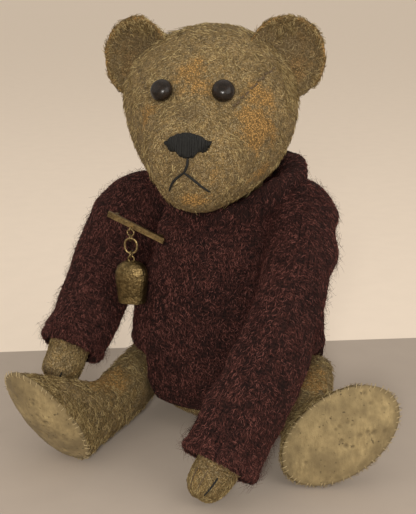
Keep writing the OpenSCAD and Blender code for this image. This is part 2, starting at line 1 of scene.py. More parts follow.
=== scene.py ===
"""Jointed mohair teddy bear in a knitted sweater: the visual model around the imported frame."""
import math
import bpy
import numpy as np
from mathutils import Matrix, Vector


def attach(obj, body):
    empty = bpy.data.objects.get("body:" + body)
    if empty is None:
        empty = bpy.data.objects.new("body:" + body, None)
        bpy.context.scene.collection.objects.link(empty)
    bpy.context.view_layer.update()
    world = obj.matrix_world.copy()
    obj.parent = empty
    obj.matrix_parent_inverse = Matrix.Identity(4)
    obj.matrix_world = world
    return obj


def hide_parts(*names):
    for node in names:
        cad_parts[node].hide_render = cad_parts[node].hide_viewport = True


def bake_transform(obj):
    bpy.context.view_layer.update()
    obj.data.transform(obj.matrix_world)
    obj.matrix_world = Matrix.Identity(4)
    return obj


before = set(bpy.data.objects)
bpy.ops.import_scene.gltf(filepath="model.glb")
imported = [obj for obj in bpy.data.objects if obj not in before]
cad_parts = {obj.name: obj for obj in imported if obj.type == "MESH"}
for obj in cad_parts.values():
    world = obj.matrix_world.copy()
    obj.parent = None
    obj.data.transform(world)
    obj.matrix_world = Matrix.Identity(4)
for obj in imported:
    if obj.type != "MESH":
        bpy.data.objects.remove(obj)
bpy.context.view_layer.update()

MM = 0.001
RIGHT = -1
LEFT = 1
SIDE_NAME = {RIGHT: "right", LEFT: "left"}

# ---- small maths -----------------------------------------------------------------


def unit(v):
    v = np.asarray(v, float)
    return v / np.maximum(np.linalg.norm(v, axis=-1, keepdims=True), 1e-12)


def catmull(points, t):
    """Smooth curve through the points at the places t, an array."""
    points = np.asarray(points, float)
    last = len(points) - 1
    t = np.clip(np.asarray(t, float), 0, last)
    i = np.minimum(t.astype(int), last - 1)
    f = (t - i)[:, None]
    a = points[np.maximum(i - 1, 0)]
    b = points[i]
    c = points[i + 1]
    d = points[np.minimum(i + 2, last)]
    return 0.5 * (2 * b + (c - a) * f + (2 * a - 5 * b + 4 * c - d) * f**2 + (3 * b - a - 3 * c + d) * f**3)


def finer(rows, steps):
    rows = np.asarray(rows, float)
    return catmull(rows, np.linspace(0, len(rows) - 1, steps))


def ramp(x, low, high):
    """Smooth step from 0 at low to 1 at high; low may be the larger."""
    t = np.clip((np.asarray(x, float) - low) / (high - low), 0, 1)
    return t * t * (3 - 2 * t)


def blob(p, centre, radius):
    """1 at the centre, falling smoothly to 0 at the radius; radius may be three numbers."""
    d = np.linalg.norm((p - np.asarray(centre, float)) / np.asarray(radius, float), axis=-1)
    return 1 - ramp(d, 0, 1)


def lattice(i, seed):
    n = i[..., 0] * 374761393 + i[..., 1] * 668265263 + i[..., 2] * 1440662683 + seed * 974634777
    n = (n ^ (n >> 13)) * 1274126177
    n = n & 0x7FFFFFFF
    return ((n ^ (n >> 16)) & 0xFFFFFF) / float(0xFFFFFF) * 2 - 1


def noise(p, scale, seed):
    """Smooth value noise from -1 to 1 at points p, with features of about scale."""
    q = np.asarray(p, float) / np.asarray(scale, float) + seed * 7.31
    i = np.floor(q).astype(np.int64)
    f = q - i
    f = f * f * (3 - 2 * f)
    total = 0
    for dx in (0, 1):
        for dy in (0, 1):
            for dz in (0, 1):
                w = np.abs(1 - dx - f[..., 0]) * np.abs(1 - dy - f[..., 1]) * np.abs(1 - dz - f[..., 2])
                total = total + w * lattice(i + np.array([dx, dy, dz]), seed)
    return total


def swirl(p, scale, seed):
    """Three noises as a wandering direction at each point."""
    return np.stack([noise(p, scale, seed + k) for k in range(3)], 1)


def circle(count):
    return np.linspace(0, 2 * math.pi, count, endpoint=False)


# ---- meshes ----------------------------------------------------------------------


def ring_faces(rows, cols, closed=True):
    """Quads of a grid of points, row by row."""
    r = np.arange(rows - 1)[:, None]
    c = np.arange(cols if closed else cols - 1)[None, :]
    d = (c + 1) % cols
    quads = np.stack([r * cols + c, r * cols + d, (r + 1) * cols + d, (r + 1) * cols + c], -1)
    return quads.reshape(-1, 4)


def capped(grid):
    """Vertices and faces of a closed form from a grid of rings."""
    rows, cols = grid.shape[:2]
    first = grid[0].mean(0)
    last = grid[-1].mean(0)
    verts = np.concatenate([grid.reshape(-1, 3), first[None], last[None]])
    j = np.arange(cols)
    k = (j + 1) % cols
    base = (rows - 1) * cols
    low = np.stack([k, j, np.full(cols, rows * cols)], -1)
    high = np.stack([base + j, base + k, np.full(cols, rows * cols + 1)], -1)
    return verts, [ring_faces(rows, cols), low, high]


def triangles(faces):
    out = []
    for f in faces:
        if len(f) == 0:
            continue
        out.append(f[:, :3])
        if f.shape[1] == 4:
            out.append(f[:, [0, 2, 3]])
    return np.concatenate(out)


def normals_of(verts, faces):
    tri = triangles(faces)
    a, b, c = verts[tri[:, 0]], verts[tri[:, 1]], verts[tri[:, 2]]
    n = np.cross(b - a, c - a)
    out = np.zeros_like(verts)
    for k in range(3):
        np.add.at(out, tri[:, k], n)
    return unit(out)


def outward(verts, faces):
    """Faces turned so that the closed form's normals look out."""
    tri = triangles(faces)
    a, b, c = verts[tri[:, 0]], verts[tri[:, 1]], verts[tri[:, 2]]
    if (a * np.cross(b, c)).sum() < 0:
        return [f[:, ::-1] for f in faces]
    return faces


def make(name, verts, faces, materials, masks=None, slots=None, smooth=True):
    """A mesh object from points in millimetres."""
    mesh = bpy.data.meshes.new(name)
    faces = [f for f in faces if len(f)]
    counts = np.concatenate([np.full(len(f), f.shape[1]) for f in faces])
    loops = np.concatenate([f.ravel() for f in faces]).astype(np.int32)
    mesh.vertices.add(len(verts))
    mesh.vertices.foreach_set("co", (np.asarray(verts) * MM).astype(np.float32).ravel())
    mesh.loops.add(len(loops))
    mesh.loops.foreach_set("vertex_index", loops)
    mesh.polygons.add(len(counts))
    starts = np.concatenate([[0], np.cumsum(counts)[:-1]]).astype(np.int32)
    mesh.polygons.foreach_set("loop_start", starts)
    mesh.polygons.foreach_set("use_smooth", np.full(len(counts), smooth))
    if slots is not None:
        mesh.polygons.foreach_set("material_index", np.asarray(slots, np.int32))
    mesh.update(calc_edges=True)
    mesh.validate()
    for mask, value in (masks or {}).items():
        attribute = mesh.attributes.new(mask, "FLOAT", "POINT")
        attribute.data.foreach_set("value", np.asarray(value, np.float32))
    piece = bpy.data.objects.new(name, mesh)
    bpy.context.scene.collection.objects.link(piece)
    for m in materials if isinstance(materials, (list, tuple)) else [materials]:
        mesh.materials.append(m)
    return piece


def scatter(verts, normals, faces, weight, count, rng):
    """Random points on a surface: positions and normals."""
    tri = triangles(faces)
    a, b, c = verts[tri[:, 0]], verts[tri[:, 1]], verts[tri[:, 2]]
    area = np.linalg.norm(np.cross(b - a, c - a), axis=1)
    w = area * np.clip(weight[tri].mean(1), 0, None)
    pick = rng.choice(len(tri), count, p=w / w.sum())
    u = rng.random((count, 2))
    over = u.sum(1) > 1
    u[over] = 1 - u[over]
    share = np.stack([1 - u.sum(1), u[:, 0], u[:, 1]], -1)
    point = (verts[tri[pick]] * share[..., None]).sum(1)
    normal = unit((normals[tri[pick]] * share[..., None]).sum(1))
    return point, normal


def strands(name, root, normal, along, length, lift, curl, radius, rng, materials, sections=3, split=None):
    """Thin tapering hairs, each a closed three-sided spike with a bend in it."""
    n = len(root)
    along = unit(along - (along * normal).sum(1, keepdims=True) * normal)
    side = np.cross(normal, along)
    length = np.broadcast_to(length, n)[:, None]
    lift = np.broadcast_to(lift, n)[:, None]
    curl = np.broadcast_to(curl, n)[:, None]
    radius = np.broadcast_to(radius, n)[:, None]
    phase = rng.random((n, 1)) * 2 * math.pi
    turn = rng.uniform(1.5, 5, (n, 1))
    levels = []
    for k in range(sections + 1):
        t = k / sections
        wave = curl * length * (np.sin(phase + turn * t) - np.sin(phase))
        rise = np.sin(lift) * t - 0.35 * np.sin(lift) * t * t
        levels.append(root + along * length * np.cos(lift) * t + normal * (length * rise) + side * wave)
    verts = []
    for k in range(sections):
        thick = radius * (1 - 0.55 * k / sections)
        for m in range(3):
            a = 2 * math.pi * m / 3
            verts.append(levels[k] + side * thick * math.cos(a) + normal * thick * math.sin(a))
    verts.append(levels[-1])
    per = 3 * sections + 1
    verts = np.stack(verts, 1).reshape(-1, 3)
    base = np.arange(n)[:, None] * per
    quads = []
    for k in range(sections - 1):
        for m in range(3):
            p = (m + 1) % 3
            quads.append(base + np.array([3 * k + m, 3 * k + p, 3 * k + 3 + p, 3 * k + 3 + m]))
    tips = []
    for m in range(3):
        tips.append(base + np.array([3 * sections - 3 + m, 3 * sections - 3 + (m + 1) % 3, per - 1]))
    tips.append(base + np.array([2, 1, 0]))
    faces = [np.concatenate(quads), np.concatenate(tips)]
    slots = None
    if isinstance(materials, (list, tuple)) and len(materials) > 1:
        kind = rng.integers(0, len(materials), n) if split is None else split
        slots = np.concatenate([np.tile(kind, len(quads)), np.tile(kind, len(tips))])
    return make(name, verts, faces, materials, slots=slots)


def tube(points, radius, sides=8, taper=None):
    """Points and faces of a round tube along the points."""
    points = np.asarray(points, float)
    n = len(points)
    head = unit(np.gradient(points, axis=0))
    ref = np.array([0.0, 0.0, 1.0]) if abs(head[0][2]) < 0.9 else np.array([1.0, 0.0, 0.0])
    rows = []
    side = unit(np.cross(head[0], ref))
    for i in range(n):
        side = unit(side - head[i] * (side @ head[i]))
        up = np.cross(head[i], side)
        r = radius * (1 if taper is None else taper[i])
        a = circle(sides)[:, None]
        rows.append(points[i] + r * (np.cos(a) * side + np.sin(a) * up))
    verts, faces = capped(np.stack(rows))
    return verts, outward(verts, faces)


def joined(parts):
    """Several (verts, faces) forms as one."""
    verts, quads, tris, shift = [], [], [], 0
    for v, faces in parts:
        verts.append(v)
        for f in faces:
            (quads if f.shape[1] == 4 else tris).append(f + shift)
        shift += len(v)
    out = []
    if quads:
        out.append(np.concatenate(quads))
    if tris:
        out.append(np.concatenate(tris))
    return np.concatenate(verts), out


# ---- materials -------------------------------------------------------------------


def new_material(name, colour, rough, metal=0.0, sheen=0.0, sheen_tint=(1, 1, 1), specular=0.5):
    m = bpy.data.materials.new(name)
    m.use_nodes = True
    shader = m.node_tree.nodes["Principled BSDF"]
    shader.inputs["Base Color"].default_value = (*colour, 1)
    shader.inputs["Roughness"].default_value = rough
    shader.inputs["Metallic"].default_value = metal
    shader.inputs["Sheen Weight"].default_value = sheen
    shader.inputs["Sheen Tint"].default_value = (*sheen_tint, 1)
    shader.inputs["Specular IOR Level"].default_value = specular
    m.diffuse_color = (*colour, 1)
    return m, m.node_tree, shader


def object_coords(tree):
    coords = tree.nodes.get("coords")
    if coords is None:
        coords = tree.nodes.new("ShaderNodeTexCoord")
        coords.name = "coords"
    return coords.outputs["Object"]


def add_noise(tree, scale, detail=3.0, rough=0.55, stretch=None):
    source = object_coords(tree)
    texture = tree.nodes.new("ShaderNodeTexNoise")
    texture.inputs["Scale"].default_value = scale
    texture.inputs["Detail"].default_value = detail
    texture.inputs["Roughness"].default_value = rough
    if stretch is not None:
        mapping = tree.nodes.new("ShaderNodeMapping")
        mapping.inputs["Scale"].default_value = stretch
        tree.links.new(source, mapping.inputs["Vector"])
        source = mapping.outputs["Vector"]
    tree.links.new(source, texture.inputs["Vector"])
    return texture.outputs["Fac"]


def add_cells(tree, scale, randomness=1.0):
    source = object_coords(tree)
    texture = tree.nodes.new("ShaderNodeTexVoronoi")
    texture.inputs["Scale"].default_value = scale
    texture.inputs["Randomness"].default_value = randomness
    tree.links.new(source, texture.inputs["Vector"])
    return texture.outputs["Distance"]


def remap(tree, value, low, high, to_low=0.0, to_high=1.0):
    node = tree.nodes.new("ShaderNodeMapRange")
    node.inputs["From Min"].default_value = low
    node.inputs["From Max"].default_value = high
    node.inputs["To Min"].default_value = to_low
    node.inputs["To Max"].default_value = to_high
    tree.links.new(value, node.inputs["Value"])
    return node.outputs["Result"]


def mix(tree, factor, a, b):
    node = tree.nodes.new("ShaderNodeMix")
    node.data_type = "RGBA"
    for value, socket in ((factor, node.inputs[0]), (a, node.inputs[6]), (b, node.inputs[7])):
        if isinstance(value, (int, float)):
            socket.default_value = value
        elif isinstance(value, tuple):
            socket.default_value = (*value, 1)
        else:
            tree.links.new(value, socket)
    return node.outputs[2]


def combine(tree, kind, a, b):
    node = tree.nodes.new("ShaderNodeMath")
    node.operation = kind
    for value, socket in ((a, node.inputs[0]), (b, node.inputs[1])):
        if isinstance(value, (int, float)):
            socket.default_value = value
        else:
            tree.links.new(value, socket)
    return node.outputs[0]


def plus(tree, a, b, share):
    """a with a share of b added."""
    return combine(tree, "ADD", a, combine(tree, "MULTIPLY", b, share))


def mask(tree, name):
    node = tree.nodes.new("ShaderNodeAttribute")
    node.attribute_name = name
    return node.outputs["Fac"]


def bump(tree, shader, height, strength, distance):
    node = tree.nodes.new("ShaderNodeBump")
    node.inputs["Strength"].default_value = strength
    node.inputs["Distance"].default_value = distance
    tree.links.new(height, node.inputs["Height"])
    tree.links.new(node.outputs["Normal"], shader.inputs["Normal"])


def dress(tree, shader, colour, rough):
    tree.links.new(colour, shader.inputs["Base Color"])
    tree.links.new(rough, shader.inputs["Roughness"])


def mohair_cloth(name, light, dark, bare, soil_and_shade):
    """Worn mohair: short pile over a woven backing that shows orange where the pile is gone."""
    m, tree, shader = new_material(name, light, 0.92, sheen=0.03, sheen_tint=(0.9, 0.7, 0.4), specular=0.12)
    fine = add_noise(tree, 1500, 2.0, 0.7)
    medium = add_noise(tree, 420, 3.0, 0.65, (1, 0.45, 1))
    broad = add_noise(tree, 95, 3.0, 0.6)
    grain = add_cells(tree, 1500)
    pile = mix(tree, remap(tree, medium, 0.36, 0.66), dark, light)
    pile = mix(tree, remap(tree, fine, 0.42, 0.7, 0, 0.55), pile, (0.55, 0.46, 0.29))
    weave = mix(tree, remap(tree, grain, 0.1, 0.62), bare, tuple(0.52 * c for c in bare))
    gone = combine(tree, "ADD", mask(tree, "bare"), remap(tree, broad, 0.3, 0.7, -0.3, 0.3))
    gone = combine(tree, "ADD", gone, remap(tree, medium, 0.3, 0.7, -0.25, 0.25))
    colour = mix(tree, remap(tree, gone, 0.35, 0.75, 0, 0.9), pile, weave)
    # mixes in the dark colour by the second attribute mask: soiling in places, and painted shade inside the
    # ear cups
    stain_and_shade = combine(tree, "MULTIPLY", mask(tree, "soil_and_shade"), remap(tree, medium, 0.25, 0.7, 0.45, 1.1))
    colour = mix(tree, stain_and_shade, colour, soil_and_shade)
    colour = mix(tree, remap(tree, grain, 0.28, 0.55, 0, 0.6), colour, tuple(0.6 * c for c in dark))
    fleck = remap(tree, add_noise(tree, 1300, 1.0, 0.5), 0.56, 0.68, 0, 0.75)
    colour = mix(tree, fleck, colour, tuple(0.45 * c for c in dark))
    dress(tree, shader, colour, remap(tree, medium, 0.3, 0.7, 0.8, 0.98))
    height = plus(tree, fine, grain, 0.7)
    height = plus(tree, height, medium, 1.4)
    bump(tree, shader, height, 0.75, 0.0006)
    return m


def felt_cloth(name, light, dark, soil_and_shade):
    """Worn wool felt with matted streaks and stains."""
    m, tree, shader = new_material(name, light, 0.93, sheen=0.05, sheen_tint=(0.9, 0.85, 0.7), specular=0.2)
    fine = add_noise(tree, 1900, 2.0, 0.6)
    streak = add_noise(tree, 380, 4.0, 0.7, (1, 1, 0.35))
    broad = add_noise(tree, 85, 3.0, 0.65)
    colour = mix(tree, remap(tree, streak, 0.35, 0.65), dark, light)
    colour = mix(tree, remap(tree, broad, 0.42, 0.62, 0, 0.6), colour, soil_and_shade)
    # mixes in the dark colour by the second attribute mask: noise on the paw pads, and the pits and rim on
    # the soles
    stain_and_shade = combine(tree, "MULTIPLY", mask(tree, "soil_and_shade"), remap(tree, streak, 0.3, 0.7, 0.5, 1.1))
    colour = mix(tree, stain_and_shade, colour, soil_and_shade)
    speck = remap(tree, add_noise(tree, 700, 1.0, 0.5), 0.68, 0.76, 0, 0.8)
    colour = mix(tree, speck, colour, (0.05, 0.035, 0.02))
    dress(tree, shader, colour, remap(tree, streak, 0.3, 0.7, 0.82, 0.98))
    height = plus(tree, fine, streak, 2.0)
    bump(tree, shader, height, 0.6, 0.0005)
    return m


def knit_cloth(name, deep, mid, bright):
    """Mohair yarn: fibres along each stitch, with painted shade between the stitches and painted highlights
    on the raised yarn.
    """
    m, tree, shader = new_material(name, mid, 0.95, sheen=0.02, sheen_tint=(0.8, 0.35, 0.3), specular=0.15)
    fibre = add_noise(tree, 1700, 3.0, 0.7)
    tone = add_noise(tree, 330, 3.0, 0.7)
    broad = add_noise(tree, 60, 2.0, 0.5)
    # painted shade: the deep colour fills the gaps between the stitches, where the yarn share is low
    colour = mix(tree, remap(tree, mask(tree, "yarn"), 0.1, 0.9), deep, mid)
    yarn = mask(tree, "yarn")
    # painted highlight: the bright colour on the raised yarn, broken up by noise
    lit = combine(tree, "MULTIPLY", remap(tree, tone, 0.46, 0.66), remap(tree, yarn, 0.3, 0.9))
    lit = combine(tree, "MULTIPLY", lit, remap(tree, fibre, 0.35, 0.65))
    colour = mix(tree, lit, colour, bright)
    colour = mix(tree, remap(tree, broad, 0.45, 0.7, 0, 0.4), colour, deep)
    dress(tree, shader, colour, remap(tree, tone, 0.3, 0.7, 0.85, 1.0))
    bump(tree, shader, fibre, 0.8, 0.0005)
    return m


def brass_metal(name, bright, dull, pitted):
    """Aged brass, dark in its hollows, worn bright in places."""
    m, tree, shader = new_material(name, bright, 0.4, metal=1.0)
    broad = add_noise(tree, 350, 3.0, 0.6)
    fine = add_noise(tree, 1500, 3.0, 0.7)
    colour = mix(tree, remap(tree, broad, 0.35, 0.65), dull, bright)
    colour = mix(tree, remap(tree, fine, 0.5, 0.7, 0, 0.7), colour, tuple(0.35 * c for c in dull))
    dress(tree, shader, colour, remap(tree, fine, 0.3, 0.7, 0.28, 0.6))
    height = plus(tree, fine, add_cells(tree, 900), 1.2)
    bump(tree, shader, height, pitted, 0.0004)
    return m


def steel_metal(name, colour, scratch):
    m, tree, shader = new_material(name, colour, 0.4, metal=1.0)
    drawn = add_noise(tree, 500, 2.0, 0.5, (6, 1, 1))
    tone = mix(tree, remap(tree, drawn, 0.3, 0.7), tuple(0.7 * c for c in colour), colour)
    dress(tree, shader, tone, remap(tree, drawn, 0.3, 0.7, 0.3, 0.55))
    bump(tree, shader, drawn, scratch, 0.0001)
    return m


def board(name, light, dark):
    m, tree, shader = new_material(name, light, 0.85)
    grain = add_noise(tree, 600, 5.0, 0.7)
    fibre = add_noise(tree, 1800, 2.0, 0.6, (1, 0.3, 1))
    tone = mix(tree, remap(tree, grain, 0.3, 0.7), dark, light)
    dress(tree, shader, tone, remap(tree, fibre, 0.3, 0.7, 0.7, 0.95))
    bump(tree, shader, fibre, 0.4, 0.0003)
    return m


def gloss_button(name):
    m, tree, shader = new_material(name, (0.012, 0.008, 0.006), 0.24, specular=0.28)
    worn = add_noise(tree, 900, 3.0, 0.6)
    colour = mix(tree, remap(tree, worn, 0.45, 0.75), (0.01, 0.007, 0.005), (0.022, 0.013, 0.008))
    dress(tree, shader, colour, remap(tree, worn, 0.3, 0.75, 0.2, 0.32))
    bump(tree, shader, worn, 0.04, 0.0002)
    return m


def thread(name, colour, light):
    m, tree, shader = new_material(name, colour, 0.7, specular=0.3)
    twist = add_noise(tree, 1600, 2.0, 0.6, (1, 2.2, 1))
    tone = mix(tree, remap(tree, twist, 0.4, 0.7), colour, light)
    dress(tree, shader, tone, remap(tree, twist, 0.3, 0.7, 0.55, 0.85))
    bump(tree, shader, twist, 0.5, 0.0003)
    return m


def hair(name, colour):
    m, tree, shader = new_material(name, colour, 0.65, specular=0.15)
    return m


LIGHT_PILE = (0.34, 0.225, 0.088)
DARK_PILE = (0.105, 0.069, 0.027)
BARE = (0.56, 0.315, 0.1)
# the dark colour for soiling, also used as painted shade inside the ear cups
SOIL_AND_SHADE = (0.115, 0.085, 0.05)
MOHAIR = mohair_cloth("mohair", LIGHT_PILE, DARK_PILE, BARE, SOIL_AND_SHADE)
FELT = felt_cloth("felt", (0.4, 0.305, 0.15), (0.24, 0.178, 0.085), (0.12, 0.088, 0.045))
# knit colours: painted shade between the stitches, the yarn, painted highlight on the yarn
KNIT = knit_cloth("knit", (0.003, 0.0012, 0.001), (0.024, 0.0088, 0.007), (0.125, 0.041, 0.031))
BRASS = brass_metal("brass", (0.36, 0.26, 0.12), (0.13, 0.093, 0.045), 0.35)
BELL_BRASS = brass_metal("bell_brass", (0.22, 0.155, 0.066), (0.085, 0.06, 0.027), 0.35)
STEEL = steel_metal("steel", (0.45, 0.45, 0.46), 0.2)
STEM = steel_metal("stem_metal", (0.5, 0.46, 0.36), 0.15)
BOARD = board("fibreboard", (0.45, 0.33, 0.21), (0.28, 0.2, 0.12))
BUTTON = gloss_button("button")
BLACK_THREAD = thread("black_thread", (0.004, 0.004, 0.0036), (0.016, 0.016, 0.014))
SEAM_THREAD = thread("seam_thread", (0.07, 0.045, 0.025), (0.16, 0.11, 0.06))
TAN_THREAD = thread("tan_thread", (0.3, 0.225, 0.115), (0.45, 0.36, 0.2))
HAIRS = [
    hair("pile_pale", (0.46, 0.355, 0.17)),
    hair("pile_mid", (0.25, 0.172, 0.07)),
    hair("pile_dull", (0.12, 0.08, 0.032)),
]
FUZZ = [hair("fuzz_deep", (0.03, 0.008, 0.007)), hair("fuzz_mid", (0.07, 0.02, 0.017))]
FLECKS = [
    hair("fleck_dark", (0.01, 0.0032, 0.0028)),
    hair("fleck_mid", (0.078, 0.026, 0.021)),
    hair("fleck_pale", (0.19, 0.07, 0.056)),
]

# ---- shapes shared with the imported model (millimetres) -----------------------------

HEAD_AT = np.array([-5.0, -12.0, 150.0])
HEAD_ROWS = [
    (36, 3, 6, -4), (34.5, 13, 15, -14), (30, 23, 24.5, -26), (22, 32, 32, -36), (12, 37, 34.5, -40.5),
    (2, 40, 35.8, -41.5), (-8, 40.5, 34.5, -41.8), (-18, 37.4, 30, -41.8), (-27, 32, 24, -41.6),
    (-35, 26.4, 16, -41), (-43, 22, 7, -39.4), (-49, 17.6, 1.5, -35), (-52.5, 11, -4, -28.4),
    (-54, 3, -13, -20),
]
TORSO_ROWS = [
    (0, 22, 20, 2, 2.1), (4, 30, 28, 2, 2.1), (12, 37, 35, 1, 2.1), (24, 41, 38, 0, 2.1),
    (38, 43, 39.4, -1, 2.1), (52, 42.6, 38.8, -1.5, 2.1), (66, 38.2, 37.2, -1.5, 2.1),
    (78, 31.6, 35, -1, 2.2), (88, 28.4, 33, -0.4, 2.4), (96, 27.4, 30, 1, 2.5), (101, 26, 27, 2.4, 2.4),
    (105, 23, 22, 3, 2.2), (108.8, 17, 17, 2, 2),
]
SWEATER_ROWS = [
    (5, 37, 36, 1, 2.1), (16, 43.5, 41, 0.5, 2.1), (30, 46, 42.4, -0.5, 2.1), (44, 46.4, 42.6, -1.3, 2.1),
    (58, 44.4, 41.6, -1.5, 2.1), (70, 39.8, 40, -1.4, 2.2), (78, 35.4, 38.8, -1.2, 2.3),
    (85, 33, 38, -1.2, 2.5), (93, 30.8, 36.2, -0.4, 2.7), (99, 30.2, 33.2, 1.2, 2.6),
    (104.5, 28, 28.6, 3, 2.3),
    (107.4, 24, 24.4, 3, 2.2), (109, 17.5, 17.5, 2, 2),
]
ARM_ROWS = [
    (0, 2, 2.5), (0.12, 4.5, 5.5), (0.35, 6.4, 8.2), (0.7, 7.2, 9.2), (1, 7.8, 9.6), (1.4, 9.2, 10.6),
    (2, 11.6, 12.2), (2.6, 10.8, 11.2), (3, 9.8, 10.4), (3.4, 9.4, 10), (3.75, 8.6, 9.4),
    (3.92, 6, 7), (4, 2.5, 3),
]
LEG_ROWS = [
    (0, 2, 2, 0), (0.08, 6.5, 5, 0), (0.28, 10.5, 7.2, 0), (0.6, 12.6, 8.5, 0), (1, 13, 9, 0),
    (1.5, 13, 10, 0), (2, 12.8, 11.4, 0), (2.6, 12.4, 11.6, 0), (3, 14, 12, 0.3),
    (3.35, 17.6, 13.4, 0.6), (3.65, 23, 15.6, 0.85), (3.85, 26.2, 16.6, 1), (4, 27.2, 17, 1),
]
ARM_PATH = {
    RIGHT: [(-41, 0, 102), (-42, -4, 91), (-62, -17, 67), (-65.5, -36, 44), (-71, -48, 24)],
    LEFT: [(38, -4, 102), (38.5, -12, 91), (42, -47, 73), (32.5, -73, 41), (12.5, -101, 4)],
}
LEG_PATH = {
    RIGHT: [(-40.8, 9.8, 18.8), (-40.8, -6, 18), (-43, -32, 15.8), (-47.5, -56, 15.6), (-59, -84, 23.6)],
    LEFT: [(40.8, 9.8, 18.8), (40.8, -6, 18), (44, -32, 16), (49.5, -50, 16.2), (64.5, -67, 22.2)],
}
SOLE_DIR = {RIGHT: unit((-0.3, -0.82, -0.49)), LEFT: unit((0.255, -0.949, 0.19))}
TOE_DIR = {RIGHT: unit((-0.32, -0.4, 0.86)), LEFT: unit((0.74, 0.35, 0.57))}
EYE_AT = np.array([11.9, -35.4, 8.0])
HIP = (-6, 18.5)
SHOULDER = (-2, 90)
HAIR_RADIUS = 0.13
SOLE_LONG = 27.4
SOLE_WIDE = 17.2


def oval(angle, squareness):
    c, s = np.cos(angle), np.sin(angle)
    p = 2 / squareness
    return np.sign(c) * np.abs(c) ** p, np.sign(s) * np.abs(s) ** p


def heading(path, t):
    last = len(path) - 1
    return unit(catmull(path, np.minimum(t + 0.02, last)) - catmull(path, np.maximum(t - 0.02, 0)))


def limb_grid(path, rows, out, end_dir, steps, cols, grow=0.0):
    """Rings along a limb; rows are (place on the path, half outward, half across, share of the end)."""
    rows = np.array([tuple(r) + (0,) * (4 - len(r)) for r in rows], float)
    r = finer(rows, steps)
    t = r[:, 0]
    n = unit(heading(path, t) * (1 - r[:, 3:4]) + np.asarray(end_dir, float) * r[:, 3:4])
    out = np.asarray(out, float)
    u = unit(out - (n @ out)[:, None] * n)
    v = np.cross(n, u)
    a = circle(cols)
    x = np.cos(a)[None, :, None]
    y = np.sin(a)[None, :, None]
    centre = catmull(path, t)[:, None, :]
    wide = np.maximum(r[:, 1] + grow, 0.3)[:, None, None]
    deep = np.maximum(r[:, 2] + grow, 0.3)[:, None, None]
    return centre + u[:, None] * wide * x + v[:, None] * deep * y


def turn_head():
    z, y = math.radians(3), math.radians(-1)
    spin = np.array([[math.cos(z), -math.sin(z), 0], [math.sin(z), math.cos(z), 0], [0, 0, 1]])
    tip = np.array([[math.cos(y), 0, math.sin(y)], [0, 1, 0], [-math.sin(y), 0, math.cos(y)]])
    return spin @ tip


HEAD_TURN = turn_head()


def from_head(p):
    return np.asarray(p, float) @ HEAD_TURN.T + HEAD_AT


def to_head(p):
    return (np.asarray(p, float) - HEAD_AT) @ HEAD_TURN


def near_line(p, line, width):
    """1 on the polyline, falling to 0 a few widths away."""
    line = np.asarray(line, float)
    best = np.full(p.shape[:-1], 1e9)
    for a, b in zip(line[:-1], line[1:]):
        d = b - a
        t = np.clip(((p - a) @ d) / (d @ d), 0, 1)[..., None]
        best = np.minimum(best, np.linalg.norm(p - a - t * d, axis=-1))
    return np.exp(-((best / width) ** 2))


def snap(line, verts, normals, offset):
    """The points of a line moved to the nearest place on a surface, and lifted by offset."""
    out = []
    for p in np.asarray(line, float):
        i = np.argmin(((verts - p) ** 2).sum(1))
        d = (p - verts[i]) @ normals[i]
        out.append(p - normals[i] * d + normals[i] * offset)
    return np.array(out)


def belong(piece, body, slot, *nodes, fill=None):
    """The piece rides on a body and stands for CAD nodes; its finish slot is not used."""
    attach(piece, body)
    if nodes:
        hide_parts(*nodes)


# ---- head ------------------------------------------------------------------------


DART = [(17, -39.3, 4.4), (21.6, -31.3, 9.3), (26.2, -23.3, 14.2), (31, -15, 19)]
DART_MIRROR = [(-p[0], p[1], p[2]) for p in DART]
FOLDS = [
    [(15, -46, -6), (19, -42, -14), (20, -40, -24), (16, -42, -33)],
    [(20, -40, -2), (25, -34, -12), (26, -32, -24), (22, -34, -34)],
    [(-16, -46, -8), (-19, -42, -18), (-17, -42, -30)],
]


def head_surface():
    rows, cols = 190, 230
    r = finer(HEAD_ROWS, rows)
    a = circle(cols)
    x, z = np.cos(a), np.sin(a)
    grid = np.zeros((rows, cols, 3))
    grid[..., 0] = r[:, 1:2] * x * (1 + 0.1 * z)
    grid[..., 1] = r[:, 0:1]
    grid[..., 2] = (r[:, 2:3] + r[:, 3:4]) / 2 + (r[:, 2:3] - r[:, 3:4]) / 2 * z
    verts, faces = capped(grid)
    faces = outward(verts, faces)
    n = normals_of(verts, faces)
    lift = 0.55 * noise(verts, 17, 3) + 0.3 * noise(verts, 6.5, 4) + 0.14 * noise(verts, 2.6, 5)
    lift -= 0.9 * np.maximum(near_line(verts, DART, 1.3), near_line(verts, DART_MIRROR, 1.3))
    for line in FOLDS:
        lift -= 1.0 * near_line(verts, line, 1.5)
        lift += 0.5 * near_line(verts, np.array(line) + (2.6, 0.6, 0), 1.8)
    lift -= 0.5 * near_line(verts, [(0, -36, 16), (0, -14, 34), (0, 12, 35), (0, 33, 16)], 1.0)
    for s in (-1, 1):
        lift -= 1.3 * blob(verts, EYE_AT * (s, 1, 1), 8.5)
    lift *= 1 - blob(verts, (0, -54, -9), (13, 9, 9))
    verts = verts + n * lift[:, None]
    masks = head_masks(verts)
    verts = narrowed(verts)
    world = from_head(verts)
    low = world[:, 2] < 109.5
    world[low, 2] = 109.5
    return world, faces, masks


def narrowed(p):
    """The skull without the thickness that its pile adds."""
    cheek = ramp(p[:, 2], 6, -12)
    scale = 0.95 - 0.02 * cheek
    out = p.copy()
    out[:, 0] = p[:, 0] * scale + 0.9 * cheek * ramp(p[:, 1], -52, -40)
    return out


